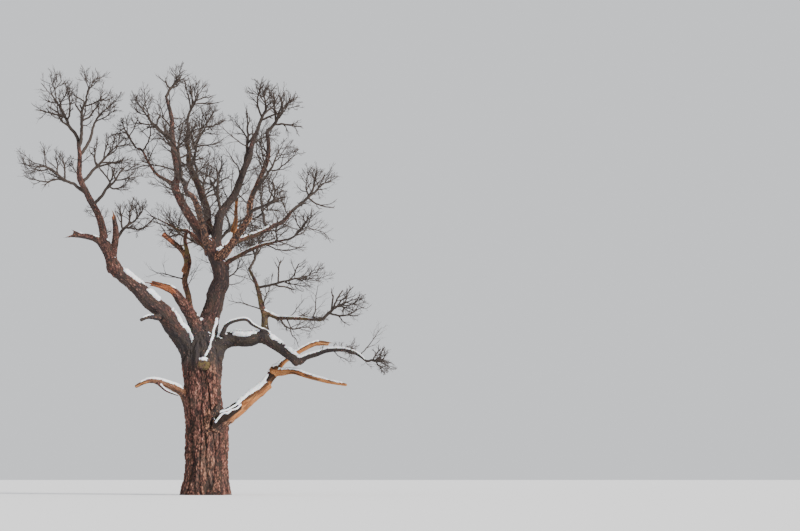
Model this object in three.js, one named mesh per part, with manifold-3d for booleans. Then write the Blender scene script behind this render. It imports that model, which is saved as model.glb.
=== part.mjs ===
// A bare old oak in winter, about 20 m tall: a thick leaning trunk, crooked boughs, torn and dead
// limbs, ribbons of snow on the flattest of them, and a crown of leafless twigs.
// Millimetres, +Z up, +X to the right and +Y away from the viewer. The origin is the middle of the
// flat cut under the trunk, at ground level.

import * as THREE from "three";
import { mergeVertices } from "three/addons/utils/BufferGeometryUtils.js";
import Module from "manifold-3d";

const wasm = await Module();
wasm.setup();

// Fit
const CLEARANCE = 0.3; // between a limb and what carries it
const MERGE = 0.01; // vertices nearer than this are one
const SLIVER = 0.2; // facets thinner than this are evened out
const TWIG_GAP = 18; // twigs of a mass keep this far from every limb
const CELL_MARGIN = 0.05; // share of a mass's reach kept free beside its neighbours

// Trunk
const TRUNK_SIDES = 20;
const FLARE = 210; // how far the root buttresses stand out at the ground
const FLARE_HEIGHT = 520; // height over which they fade
const FLUTE = 0.035; // share of the radius by which the trunk is fluted
const BUTTRESSES = 5;
const BUTTRESS_TURN = 0.6; // the direction of the first, in radians
const BUTTRESS_LEAST = 0.35; // share of the flare that stands out all round
const BUTTRESS_SHARE = 0.5; // and how much of it follows the flutes
const FINE_FLUTES = 7;
const FINE_FLUTE_TURN = 2.1;
const FINE_FLUTE_SHARE = 0.6; // their depth over that of the buttresses' flutes
// Height, middle x and radius of each ring of the trunk, from the cut to the fork.
const TRUNK = [
  [0, 0, 1060],
  [300, 0, 1010],
  [850, 10, 965],
  [1700, 10, 955],
  [2600, 10, 985],
  [3400, -50, 945],
  [4200, -150, 875],
  [5000, -220, 855],
  [5800, -260, 900],
  [6250, -285, 860],
  [6700, -280, 730],
  [7150, -240, 560],
  [7550, -170, 330],
].map(([height, x, radius]) => ({ point: new THREE.Vector3(x, 0, height), radius }));

// Limbs: one tapering tube each. A limb's foot lies inside what carries it and is cut away there.
const LIMB_STEP = 680; // between two rings of a limb
const SWAY = 55; // how far a ring is shifted off the smooth line
const SWAY_SHARE = 0.06; // and with it this share of the limb's radius
const TAPER = 0.85;
const COLLAR = 0.3; // share by which a limb swells at its foot
const COLLAR_LENGTH = 1.6; // and how soon that fades, in foot radii
const THICK = 200; // a limb with a thicker foot gets more sides
const THICK_SIDES = 10;
const THIN_SIDES = 7;

// Name, the places its line passes through, its radius at the foot and at the tip.
const LIMBS = [
  ["left_bough", [[-500, 0, 6000], [-1100, -100, 7060], [-1880, -600, 8170], [-2700, -1100, 9040],
    [-3530, -1400, 9700], [-4200, -1600, 10320]], 500, 245],
  ["low_right_bough", [[60, 0, 6050], [360, 100, 6700], [900, 200, 7090], [1800, 100, 7150],
    [2690, 0, 7210], [3400, -200, 6630], [4250, -400, 6020]], 430, 215],
  ["centre_bough", [[-220, 50, 5900], [-200, 100, 6890], [-40, 200, 8070], [270, 200, 9100],
    [500, 100, 9930], [490, 0, 10670], [200, 0, 11420]], 500, 330],
  ["torn_bough", [[-320, 0, 6600], [-510, -100, 7480], [-870, -300, 8340], [-1300, -600, 9050],
    [-1840, -800, 9490], [-2500, -1000, 9700]], 390, 70],
  ["rear_bough", [[-50, 200, 7500], [10, 1900, 9020], [110, 3400, 10450], [-150, 4600, 11760],
    [-640, 5600, 13070], [-930, 6200, 14200]], 260, 95],
  ["dead_limb", [[-30, -200, 2650], [460, -600, 3120], [1040, -600, 3580], [1690, -300, 4140],
    [2340, 0, 4800], [3100, 300, 5740]], 430, 190],
  ["left_stub", [[-790, 0, 4150], [-1110, -400, 4640], [-1450, -600, 4950], [-1930, -800, 5120],
    [-2510, -900, 5180], [-3170, -1000, 4880]], 240, 75],
  ["left_snag", [[-4130, -1560, 10220], [-4210, -1400, 10990], [-4160, -1300, 11980],
    [-4280, -1400, 12700]], 225, 90],
  ["left_leader", [[-4110, -1590, 10180], [-4380, -1720, 10990], [-4650, -1820, 11530],
    [-4650, -1900, 12260], [-5110, -2000, 13160], [-5720, -2100, 14350], [-5670, -2200, 15170],
    [-5830, -2200, 16060]], 225, 90],
  ["left_spur", [[-4380, -1700, 10900], [-4860, -1900, 11470], [-5280, -2300, 11590],
    [-5860, -2620, 11650]], 170, 115],
  ["crooked_snag", [[-720, 0, 8050], [-1050, 600, 9050], [-1250, 900, 10080], [-1180, 1000, 10860],
    [-1540, 1100, 11590], [-2390, 1300, 12300]], 150, 125],
  ["centre_left_limb", [[160, 0, 11200], [-240, -200, 11820], [-850, -700, 12730],
    [-1470, -1100, 13980], [-1420, -1200, 14670], [-1670, -1300, 16300], [-1700, -1200, 17460],
    [-2020, -1100, 18390]], 265, 75],
  ["centre_right_limb", [[180, 0, 11250], [280, 200, 12410], [560, 300, 13190], [1070, 300, 14050],
    [1500, 100, 14970], [1780, 0, 15910], [2130, 200, 17060]], 250, 105],
  ["centre_rear_limb", [[150, 50, 11250], [-160, 900, 12520], [-470, 1700, 13720],
    [-1340, 2900, 15920], [-1560, 3300, 16900], [-1670, 3600, 18340]], 235, 75],
  ["centre_front_limb", [[30, -50, 11350], [-150, -1000, 12120], [-350, -2400, 13050],
    [-590, -3700, 13500], [-770, -4400, 13910]], 190, 80],
  ["right_pale_limb", [[400, -60, 10850], [1030, -700, 11470], [1590, -1300, 12070],
    [2000, -1800, 12780], [2110, -2100, 13380], [2910, -2600, 15090], [2860, -2800, 16390]], 200, 90],
  ["right_level_limb", [[300, 0, 11100], [760, 330, 11560], [1200, 700, 11960], [1930, 1000, 12200],
    [2620, 1200, 12520], [3220, 1400, 12890], [3720, 1600, 13460]], 185, 85],
  ["thin_left_limb", [[60, 60, 11250], [-650, 400, 11960], [-1250, 600, 12330],
    [-1790, 700, 12490], [-3190, 1100, 13230]], 135, 32],
  ["torn_spike", [[480, 50, 10650], [890, 600, 11470], [1030, 900, 12330], [1090, 1000, 14180]], 150, 30],
  ["right_low_limb", [[500, 0, 10500], [1270, -300, 10960], [1970, -800, 11220],
    [2740, -1200, 11480], [3600, -1600, 11560]], 130, 55],
  ["west_side_limb", [[-1500, -1110, 14200], [-2090, -1000, 14470], [-2630, -900, 14960],
    [-3040, -800, 15790], [-3430, -700, 16050]], 95, 50],
  ["low_right_upright", [[2690, 0, 7180], [2590, 400, 8090], [2370, 700, 8780], [2160, 900, 9650],
    [1740, 1200, 10600]], 185, 70],
  ["low_right_side_limb", [[2500, 560, 8430], [3080, 200, 8210], [3800, -200, 8120],
    [5330, -1000, 7950]], 125, 80],
  ["low_right_tip", [[4200, -390, 6060], [4760, -500, 6380], [5600, -700, 6550],
    [6660, -1000, 6590], [7360, -1400, 6040]], 160, 60],
  ["dead_limb_upper_prong", [[3020, 270, 5640], [3540, 500, 6270], [4220, 700, 6750],
    [4920, 800, 7020], [5570, 900, 7010]], 165, 105],
  ["dead_limb_lower_prong", [[3000, 270, 5650], [3710, 100, 5680], [4560, -100, 5440],
    [5500, -300, 5240], [6470, -500, 5000]], 180, 80],
].map(([name, route, foot, tip], index) => ({ name, route, foot, tip, seed: index + 1 }));

// Masses of twigs: name, the limb it grows on and how far along that limb, the middle of the
// space that it keeps to, and how far it reaches from there in x, y and z.
const MASSES = [
  ["twigs_left_top_west", "left_leader", 1, [-6720, -2400, 17750], [1230, 1500, 1950]],
  ["twigs_left_top_middle", "left_leader", 0.95, [-5050, -3300, 17700], [1170, 1500, 1820]],
  ["twigs_left_top_east", "left_leader", 0.9, [-4410, -1400, 17400], [1100, 1370, 1230]],
  ["twigs_left_middle_east", "left_leader", 0.68, [-4300, -1500, 15600], [1370, 1430, 1370]],
  ["twigs_left_low_east", "left_leader", 0.56, [-3700, -2600, 14200], [1550, 1300, 970]],
  ["twigs_left_snag", "left_snag", 0.45, [-3500, -800, 12700], [1550, 1300, 1040]],
  ["twigs_left_far_west", "left_leader", 0.62, [-7150, -2500, 14850], [1620, 1550, 1230]],
  ["twigs_centre_left_top", "centre_left_limb", 1, [-1850, -1100, 18650], [1150, 1300, 1500]],
  ["twigs_centre_left_west", "centre_left_limb", 0.72, [-2900, -1700, 17500], [1100, 1370, 1550]],
  ["twigs_west_side", "west_side_limb", 1, [-3900, -600, 16900], [1100, 1170, 1100]],
  ["twigs_centre_rear_top", "centre_rear_limb", 1, [-1350, 3800, 19100], [1300, 1620, 1550]],
  ["twigs_centre_rear_east", "centre_rear_limb", 0.6, [-500, 2500, 17500], [1170, 1500, 1950]],
  ["twigs_centre_rear_back", "centre_rear_limb", 0.5, [-1900, 5300, 16900], [1620, 1620, 1750]],
  ["twigs_centre_front", "centre_front_limb", 1, [-850, -5200, 15000], [1620, 1750, 1620]],
  ["twigs_centre_between", "centre_right_limb", 0.3, [-100, 900, 15000], [1170, 1230, 1500]],
  ["twigs_right_top_west", "centre_right_limb", 0.72, [1200, 700, 17300], [1100, 1300, 1620]],
  ["twigs_right_top", "centre_right_limb", 1, [2300, 100, 18100], [1170, 1430, 1550]],
  ["twigs_right_pale_top", "right_pale_limb", 1, [3420, -3000, 17050], [1100, 1500, 1500]],
  ["twigs_right_pale_east", "right_pale_limb", 0.66, [3600, -3150, 14900], [1300, 1500, 1300]],
  ["twigs_right_front", "right_pale_limb", 0.5, [2550, -4300, 13400], [1620, 1880, 1230]],
  ["twigs_right_level_top", "right_level_limb", 1, [4600, 1900, 14700], [1620, 1750, 1430]],
  ["twigs_right_level_rear", "right_level_limb", 0.66, [2500, 3400, 14100], [1500, 1880, 1370]],
  ["twigs_right_low", "right_low_limb", 1, [4600, -2200, 11900], [1430, 1620, 1040]],
  ["twigs_low_upright_top", "low_right_upright", 1, [1900, 2900, 12000], [1500, 1700, 1400]],
  ["twigs_low_upright_east", "low_right_upright", 0.75, [4000, 400, 10100], [1950, 1500, 970]],
  ["twigs_low_side", "low_right_side_limb", 1, [6300, -1400, 8400], [1500, 1500, 1040]],
  ["twigs_low_right_tip", "low_right_tip", 1, [7850, -1900, 5850], [1100, 1230, 900]],
  ["twigs_rear_top", "rear_bough", 1, [-1250, 6700, 15400], [1880, 1690, 1690]],
  ["twigs_rear_east", "rear_bough", 0.7, [1000, 5600, 13300], [1820, 1620, 1500]],
  ["twigs_rear_west", "rear_bough", 0.6, [-2000, 4900, 12900], [1750, 1550, 1370]],
].map(([name, from, along, centre, reach], index) => ({
  name, from, along, centre: new THREE.Vector3(...centre), reach: new THREE.Vector3(...reach),
  seed: 100 + index,
}));

// Twigs branch by one rule. Each order of twig has a number of straight pieces and of side twigs.
// A side twig of the stem is SIDE_LENGTH times the mean reach of its mass, and every later order
// is a share of its own twig. They lean away from their twig by an angle in radians.
const ORDERS = [
  { pieces: 8, sides: 12, share: 0, thinning: 0.75, lean: 0.8, kink: 0.44 },
  { pieces: 5, sides: 9, share: 0.55, thinning: 0.6, lean: 0.8, kink: 0.38 },
  { pieces: 4, sides: 0, share: 0, thinning: 0, lean: 0, kink: 0.3 },
];
const SIDE_LENGTH = 1.6;
const IN_SOLIDS = [[0, 2, 4, 6, 9], [3]]; // which side twigs the solids hold, by order
const STEM_SHARE = 0.95; // stem radius over its limb's tip radius
const STEM_LEAST = 50;
const STEM_MOST = 80;
const STEM_SIDES = 5;
const TWIG_SIDES = 3;
const TWIG_TIP = 9;
const TWIG_TAPER = 1.6; // over 1, a twig stays thick near its foot
const FIRST_SIDE = 0.22; // where along a twig its first side twig stands
const SHORTENING = 0.6; // how much shorter the side twigs get towards the tip
const OUTWARD = 0.4; // how strongly twigs turn away from the middle of their mass
const HOMING = 0.5; // how strongly a stem turns back to the far side of its mass
const LIFT = 0.1; // and every twig upwards, at each piece
const FAR_SIDE = 0.7; // how far out in its mass, beyond the middle, a stem ends
const SPILL = 1.18; // how far out in its mass a twig may reach at most, 1 being its edge
const RAGGED = 0.5; // how much sooner than that some of them end
const GOLDEN_ANGLE = Math.PI * (3 - Math.sqrt(5));

// Snow: name, the limb it lies on, and from where to where along that limb.
const SNOW_RISE = 0.62; // how far above the limb's line its middle lies, as a share of the radius
const SNOW_WIDTH = 0.52; // its half width, as a share of the limb's radius
const SNOW_DEPTH = 45;
const SNOW_SIDES = 7;
const SNOW_ENDS = 0.55; // how much narrower a ribbon is at its ends
const SNOW = [
  ["snow_on_left_bough", "left_bough", 0.3, 0.93],
  ["snow_on_low_right_bough", "low_right_bough", 0.42, 0.98],
  ["snow_on_dead_limb", "dead_limb", 0.4, 0.95],
];

const BARK = new THREE.MeshStandardMaterial({ color: 0x5d4438, roughness: 0.95, metalness: 0 });
const DEAD_WOOD = new THREE.MeshStandardMaterial({ color: 0xb08059, roughness: 0.85, metalness: 0 });
const TWIG_BARK = new THREE.MeshStandardMaterial({ color: 0x4a4340, roughness: 0.9, metalness: 0 });
const SNOW_WHITE = new THREE.MeshStandardMaterial({ color: 0xf2f5f8, roughness: 0.8, metalness: 0 });
const DEAD = ["dead_limb", "dead_limb_upper_prong", "dead_limb_lower_prong", "torn_spike"];

const UP = new THREE.Vector3(0, 0, 1);

// A repeatable whole number from a seed and the number of the draw.
function scramble(seed, draw) {
  let h = (seed ^ Math.imul(draw + 1, 0x9e3779b1)) >>> 0;
  h = Math.imul(h ^ (h >>> 16), 0x85ebca6b) >>> 0;
  h = Math.imul(h ^ (h >>> 13), 0xc2b2ae35) >>> 0;
  return (h ^ (h >>> 16)) >>> 0;
}

// The same as a fraction from 0 to 1.
function fraction(seed, draw) {
  return scramble(seed, draw) / 4294967296;
}

// A vector whose parts each lie between -1 and 1.
function jitter(seed, draw) {
  const part = (k) => 2 * fraction(seed, 3 * draw + k) - 1;
  return new THREE.Vector3(part(0), part(1), part(2));
}

function lerpVector(a, b, share) {
  return new THREE.Vector3().lerpVectors(a, b, share);
}

// The rings of a limb: points on a smooth line through its route, each shifted a little.
function axisOf({ route, foot, tip, seed }) {
  const points = route.map((place) => new THREE.Vector3(...place));
  const line = new THREE.CatmullRomCurve3(points, false, "catmullrom", 0.5);
  const run = points.slice(1).reduce((sum, point, i) => sum + point.distanceTo(points[i]), 0);
  const steps = Math.ceil(run / LIMB_STEP);
  return Array.from({ length: steps + 1 }, (_, i) => {
    const collar = 1 + COLLAR * Math.exp(-run * i / steps / (COLLAR_LENGTH * foot));
    const radius = collar * (tip + (foot - tip) * (1 - i / steps) ** TAPER);
    const inside = i > 0 && i < steps ? 1 : 0;
    const shift = jitter(seed, i).multiplyScalar(inside * (SWAY + SWAY_SHARE * radius));
    return { point: line.getPoint(i / steps).add(shift), radius };
  });
}

// The middle and radius of an axis at a share of its length.
function alongAxis(axis, share) {
  const place = share * (axis.length - 1);
  const i = Math.min(Math.floor(place), axis.length - 2);
  const part = place - i;
  return {
    point: lerpVector(axis[i].point, axis[i + 1].point, part),
    radius: THREE.MathUtils.lerp(axis[i].radius, axis[i + 1].radius, part),
    heading: axis[i + 1].point.clone().sub(axis[i].point).normalize(),
  };
}

// For each ring of an axis, its direction and two directions square to it, turned as little as
// possible from one ring to the next.
function framesOf(axis) {
  let across = Math.abs(axis[1].point.x - axis[0].point.x) > Math.abs(axis[1].point.y - axis[0].point.y)
    ? new THREE.Vector3(0, 1, 0)
    : new THREE.Vector3(1, 0, 0);
  return axis.map((_, i) => {
    const before = axis[Math.max(i - 1, 0)].point;
    const after = axis[Math.min(i + 1, axis.length - 1)].point;
    const forward = after.clone().sub(before).normalize();
    across = across.clone().addScaledVector(forward, -across.dot(forward)).normalize();
    return { forward, across, aside: across.clone().cross(forward) };
  });
}

// A closed tube round an axis, bent from a cylinder. grow makes it that much larger all round.
// reach(ring, angle) gives the radius where it isn't the same all round.
function tube(axis, sides, { grow = 0, pointed = false, frames = framesOf(axis), reach = null } = {}) {
  const rings = axis.length - 1;
  const geometry = new THREE.CylinderGeometry(pointed ? 0 : 1, 1, 1, sides, rings);
  const position = geometry.getAttribute("position");
  for (let v = 0; v < position.count; v++) {
    const i = Math.round((position.getY(v) + 0.5) * rings);
    const { forward, across, aside } = frames[i];
    const span = Math.hypot(position.getX(v), position.getZ(v));
    const turn = span > 1e-6 ? [position.getX(v) / span, position.getZ(v) / span] : [0, 0];
    const radius = (reach ? reach(axis[i], Math.atan2(turn[0], turn[1])) : axis[i].radius) + grow;
    const end = i === 0 ? -grow : i === rings ? grow : 0;
    const place = axis[i].point.clone()
      .addScaledVector(across, radius * turn[0])
      .addScaledVector(aside, radius * turn[1])
      .addScaledVector(forward, end);
    position.setXYZ(v, place.x, place.y, place.z);
  }
  geometry.deleteAttribute("normal");
  geometry.deleteAttribute("uv");
  const merged = mergeVertices(geometry, MERGE);
  return new wasm.Manifold(new wasm.Mesh({
    numProp: 3,
    vertProperties: merged.getAttribute("position").array,
    triVerts: new Uint32Array(merged.index.array),
  }));
}

// A solid cut clear of every limb and stem so far, without the scraps and slivers that cuts leave.
function cutClear(solid) {
  const cut = [...grown.values()].reduce((rest, other) => rest.subtract(other), solid);
  const pieces = cut.decompose();
  return pieces.reduce((a, b) => (b.volume() > a.volume() ? b : a)).simplify(SLIVER);
}

// The trunk's radius at a ring, in a direction: fluted, with buttresses at the ground.
function trunkReach({ point, radius }, angle) {
  const flutes = Math.cos(BUTTRESSES * angle + BUTTRESS_TURN)
    + FINE_FLUTE_SHARE * Math.cos(FINE_FLUTES * angle + FINE_FLUTE_TURN);
  const flare = FLARE * Math.exp(-point.z / FLARE_HEIGHT);
  return radius * (1 + FLUTE * flutes) + flare * Math.max(0, BUTTRESS_LEAST + BUTTRESS_SHARE * flutes);
}

// The trunk's rings are all level, so that it stands square on the ground.
function makeTrunk(grow) {
  const level = { forward: UP, across: new THREE.Vector3(1, 0, 0), aside: new THREE.Vector3(0, -1, 0) };
  return tube(TRUNK, TRUNK_SIDES, { grow, frames: TRUNK.map(() => level), reach: trunkReach });
}

const axes = new Map();
const sidesOf = new Map();
const solids = new Map();
const grown = new Map();

solids.set("trunk", makeTrunk(0));
grown.set("trunk", makeTrunk(CLEARANCE));
axes.set("trunk", TRUNK);

for (const limb of LIMBS) {
  axes.set(limb.name, axisOf(limb));
  sidesOf.set(limb.name, limb.foot > THICK ? THICK_SIDES : THIN_SIDES);
}

// Each limb is cut clear of the trunk and of every limb before it.
for (const { name } of LIMBS) {
  solids.set(name, cutClear(tube(axes.get(name), sidesOf.get(name))));
  grown.set(name, tube(axes.get(name), sidesOf.get(name), { grow: CLEARANCE }));
}

// The shortest distance between the stretches a-b and c-d.
function stretchGap(a, b, c, d) {
  const u = b.clone().sub(a);
  const v = d.clone().sub(c);
  const w = a.clone().sub(c);
  const uu = u.dot(u);
  const uv = u.dot(v);
  const vv = v.dot(v);
  const wide = uu * vv - uv * uv;
  let s = wide > 1e-9 ? THREE.MathUtils.clamp((uv * v.dot(w) - vv * u.dot(w)) / wide, 0, 1) : 0;
  const t = THREE.MathUtils.clamp((uv * s + v.dot(w)) / vv, 0, 1);
  s = THREE.MathUtils.clamp((uv * t - u.dot(w)) / uu, 0, 1);
  return a.clone().addScaledVector(u, s).distanceTo(c.clone().addScaledVector(v, t));
}

function touchesLimb(a, b, radius, ignored) {
  for (const [name, axis] of axes) {
    if (name === ignored) continue;
    for (let i = 0; i + 1 < axis.length; i++) {
      const room = radius + Math.max(axis[i].radius, axis[i + 1].radius) + TWIG_GAP;
      if (stretchGap(a, b, axis[i].point, axis[i + 1].point) < room) return true;
    }
  }
  return false;
}

// How far out in a mass a point lies: 1 is the edge of its space.
function depthIn(mass, point) {
  return point.clone().sub(mass.centre).divide(mass.reach).length();
}

// Whether a point belongs to a mass: inside its space and nearer its middle than any other's.
function holds(mass, point, limit) {
  const depth = depthIn(mass, point);
  if (depth > limit) return false;
  return MASSES.every((other) => other === mass || depth + CELL_MARGIN < depthIn(other, point));
}

// One twig: a crooked line of pieces that stops before it leaves its mass or touches a limb or
// another mass's stem. A stem heads for its goal and only keeps clear of the limbs.
function growTwig(mass, { start, heading, goal, length, radius, seed, order }) {
  const { pieces, kink } = ORDERS[order];
  const line = [{ point: start, radius }];
  const direction = heading.clone();
  const limit = SPILL - RAGGED * fraction(seed, 70);
  for (let i = 1; i <= pieces; i++) {
    const last = line[i - 1].point;
    direction.addScaledVector(jitter(seed, i), kink).addScaledVector(UP, LIFT);
    if (goal) direction.addScaledVector(goal.clone().sub(last).normalize(), HOMING);
    direction.normalize();
    const next = last.clone().addScaledVector(direction, length / pieces);
    const middle = lerpVector(last, next, 0.5);
    const fits = (point) => order === 0 || holds(mass, point, limit);
    const own = order === 0 ? mass.from : mass.name;
    if (!fits(next) || !fits(middle) || touchesLimb(last, next, radius, own)) break;
    line.push({ point: next, radius: THREE.MathUtils.lerp(radius, TWIG_TIP, (i / pieces) ** TWIG_TAPER) });
  }
  return line;
}

// The side twigs of a grown twig, spiralling round it as far as it grew.
function sideTwigs(mass, line, { length, seed, order }) {
  const { pieces, sides, share, thinning, lean } = ORDERS[order];
  const span = order === 0 ? SIDE_LENGTH * meanReach(mass) : share * length;
  return Array.from({ length: sides }, (_, i) => {
    const own = scramble(seed, 1000 + i);
    const along = FIRST_SIDE + (1 - FIRST_SIDE) * (i + 0.8 * fraction(own, 50)) / sides;
    const grownShare = along * pieces / (line.length - 1);
    if (grownShare >= 1) return null;
    const { point, radius, heading } = alongAxis(line, grownShare);
    const across = new THREE.Vector3(0.31, 0.17, 0.93).cross(heading).normalize();
    const aside = across.clone().cross(heading);
    const turn = GOLDEN_ANGLE * i + 1.2 * fraction(own, 51);
    const tilt = lean * (0.8 + 0.4 * fraction(own, 52));
    const outward = point.clone().sub(mass.centre).divide(mass.reach);
    const direction = heading.clone().multiplyScalar(Math.cos(tilt))
      .addScaledVector(across, Math.sin(tilt) * Math.cos(turn))
      .addScaledVector(aside, Math.sin(tilt) * Math.sin(turn))
      .addScaledVector(outward, OUTWARD).normalize();
    return {
      start: point, heading: direction, radius: Math.max(radius * thinning, TWIG_TIP), seed: own,
      length: span * (1 - SHORTENING * along) * (0.85 + 0.3 * fraction(own, 53)), order: order + 1,
    };
  });
}

function meanReach({ reach }) {
  return (reach.x + reach.y + reach.z) / 3;
}

// The stem of a mass, from its limb to the far side of its space.
function stemOf(mass) {
  const limb = axes.get(mass.from);
  const { point, radius } = alongAxis(limb, mass.along);
  const heading = mass.centre.clone().sub(point);
  const past = FAR_SIDE / heading.clone().normalize().divide(mass.reach).length();
  const goal = mass.centre.clone().addScaledVector(heading.clone().normalize(), past);
  const thick = STEM_SHARE * Math.min(limb[limb.length - 1].radius, radius);
  return {
    start: point, heading: heading.clone().normalize(), goal, length: heading.length() + past,
    radius: THREE.MathUtils.clamp(thick, STEM_LEAST, STEM_MOST), seed: mass.seed, order: 0,
  };
}

// The stem and side twigs of a mass in one solid, cut clear of the limbs and of earlier stems.
function makeMass(mass) {
  const stemLine = axes.get(mass.name);
  const twigs = [tube(stemLine, STEM_SIDES, { pointed: true })];
  const sides = sideTwigs(mass, stemLine, stemOf(mass));
  for (const side of IN_SOLIDS[0].map((i) => sides[i]).filter(Boolean)) {
    const sideLine = growTwig(mass, side);
    if (sideLine.length < 2) continue;
    twigs.push(tube(sideLine, TWIG_SIDES, { pointed: true }));
    const smallSides = sideTwigs(mass, sideLine, side);
    for (const small of IN_SOLIDS[1].map((i) => smallSides[i]).filter(Boolean)) {
      const smallLine = growTwig(mass, small);
      if (smallLine.length < 3) continue;
      const ends = [smallLine[0], smallLine[smallLine.length - 1]];
      twigs.push(tube(ends, TWIG_SIDES, { pointed: true }));
    }
  }
  const solid = cutClear(twigs.reduce((joined, twig) => joined.add(twig)));
  grown.set(mass.name, tube(stemLine, STEM_SIDES, { grow: CLEARANCE }));
  return solid;
}

// A ribbon of snow along the top of a limb, cut to the limb's own shape.
function makeSnow(limb, from, to) {
  const axis = axes.get(limb);
  const steps = Math.round((to - from) * (axis.length - 1));
  const ribbon = Array.from({ length: steps + 1 }, (_, i) => {
    const { point, radius, heading } = alongAxis(axis, THREE.MathUtils.lerp(from, to, i / steps));
    const up = UP.clone().addScaledVector(heading, -UP.dot(heading)).normalize();
    const ends = i === 0 || i === steps ? SNOW_ENDS : 1;
    return {
      point: point.addScaledVector(up, radius * SNOW_RISE),
      radius: ends * (radius * SNOW_WIDTH + SNOW_DEPTH),
    };
  });
  return cutClear(tube(ribbon, SNOW_SIDES));
}

const stemLines = MASSES.map((mass) => growTwig(mass, stemOf(mass)));
MASSES.forEach(({ name }, i) => axes.set(name, stemLines[i]));
for (const mass of MASSES) solids.set(mass.name, makeMass(mass));
for (const [name, limb, from, to] of SNOW) solids.set(name, makeSnow(limb, from, to));

function materialOf(name) {
  if (name.startsWith("snow")) return SNOW_WHITE;
  if (name.startsWith("twigs")) return TWIG_BARK;
  return DEAD.includes(name) ? DEAD_WOOD : BARK;
}

const oak = new THREE.Group();
for (const [name, solid] of solids) {
  const { vertProperties, triVerts } = solid.getMesh();
  const geometry = new THREE.BufferGeometry();
  geometry.setAttribute("position", new THREE.BufferAttribute(vertProperties, 3));
  geometry.setIndex(new THREE.BufferAttribute(triVerts, 1));
  geometry.computeVertexNormals();
  const mesh = new THREE.Mesh(geometry, materialOf(name));
  mesh.name = name;
  oak.add(mesh);
}

export default oak;
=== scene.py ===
"""A bare old oak in winter: furrowed bark, dead and torn wood, fine twigs, and snow on the boughs."""

import math

import bpy
import numpy as np
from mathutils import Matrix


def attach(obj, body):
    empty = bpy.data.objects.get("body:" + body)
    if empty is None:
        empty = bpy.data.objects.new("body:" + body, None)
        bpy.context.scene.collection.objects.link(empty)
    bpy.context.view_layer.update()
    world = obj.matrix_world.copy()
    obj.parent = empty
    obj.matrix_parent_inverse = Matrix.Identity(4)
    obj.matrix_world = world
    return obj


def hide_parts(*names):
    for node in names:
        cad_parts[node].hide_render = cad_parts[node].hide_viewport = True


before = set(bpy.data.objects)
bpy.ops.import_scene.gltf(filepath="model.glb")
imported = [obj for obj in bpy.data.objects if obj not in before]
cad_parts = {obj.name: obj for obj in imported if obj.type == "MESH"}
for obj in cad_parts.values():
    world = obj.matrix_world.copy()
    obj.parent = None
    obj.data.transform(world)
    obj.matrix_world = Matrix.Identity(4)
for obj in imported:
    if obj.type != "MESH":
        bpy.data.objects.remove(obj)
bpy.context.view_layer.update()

MM = 0.001  # the tree is laid out in millimetres, as its solids are, and made in metres
UP = np.array([0.0, 0.0, 1.0])
WEATHER = np.array([0.22, -0.36, 0.91])  # the side that rain and snow come from

# Trunk: height, middle x and radius of its rings, and its flutes and root buttresses.
TRUNK = [
    (0, 0, 1060), (300, 0, 1010), (850, 10, 965), (1700, 10, 955), (2600, 10, 985), (3400, -50, 945),
    (4200, -150, 875), (5000, -220, 855), (5800, -260, 900), (6250, -285, 860), (6700, -280, 730),
    (7150, -240, 560), (7550, -170, 330),
]
FLARE = 210  # how far the buttresses stand out at the ground
FLARE_HEIGHT = 520
BUTTRESSES = 5
BUTTRESS_TURN = 0.6
BUTTRESS_LEAST = 0.35
BUTTRESS_SHARE = 0.5
FLUTE = 0.035
FINE_FLUTES = 7
FINE_FLUTE_TURN = 2.1
FINE_FLUTE_SHARE = 0.6

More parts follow.
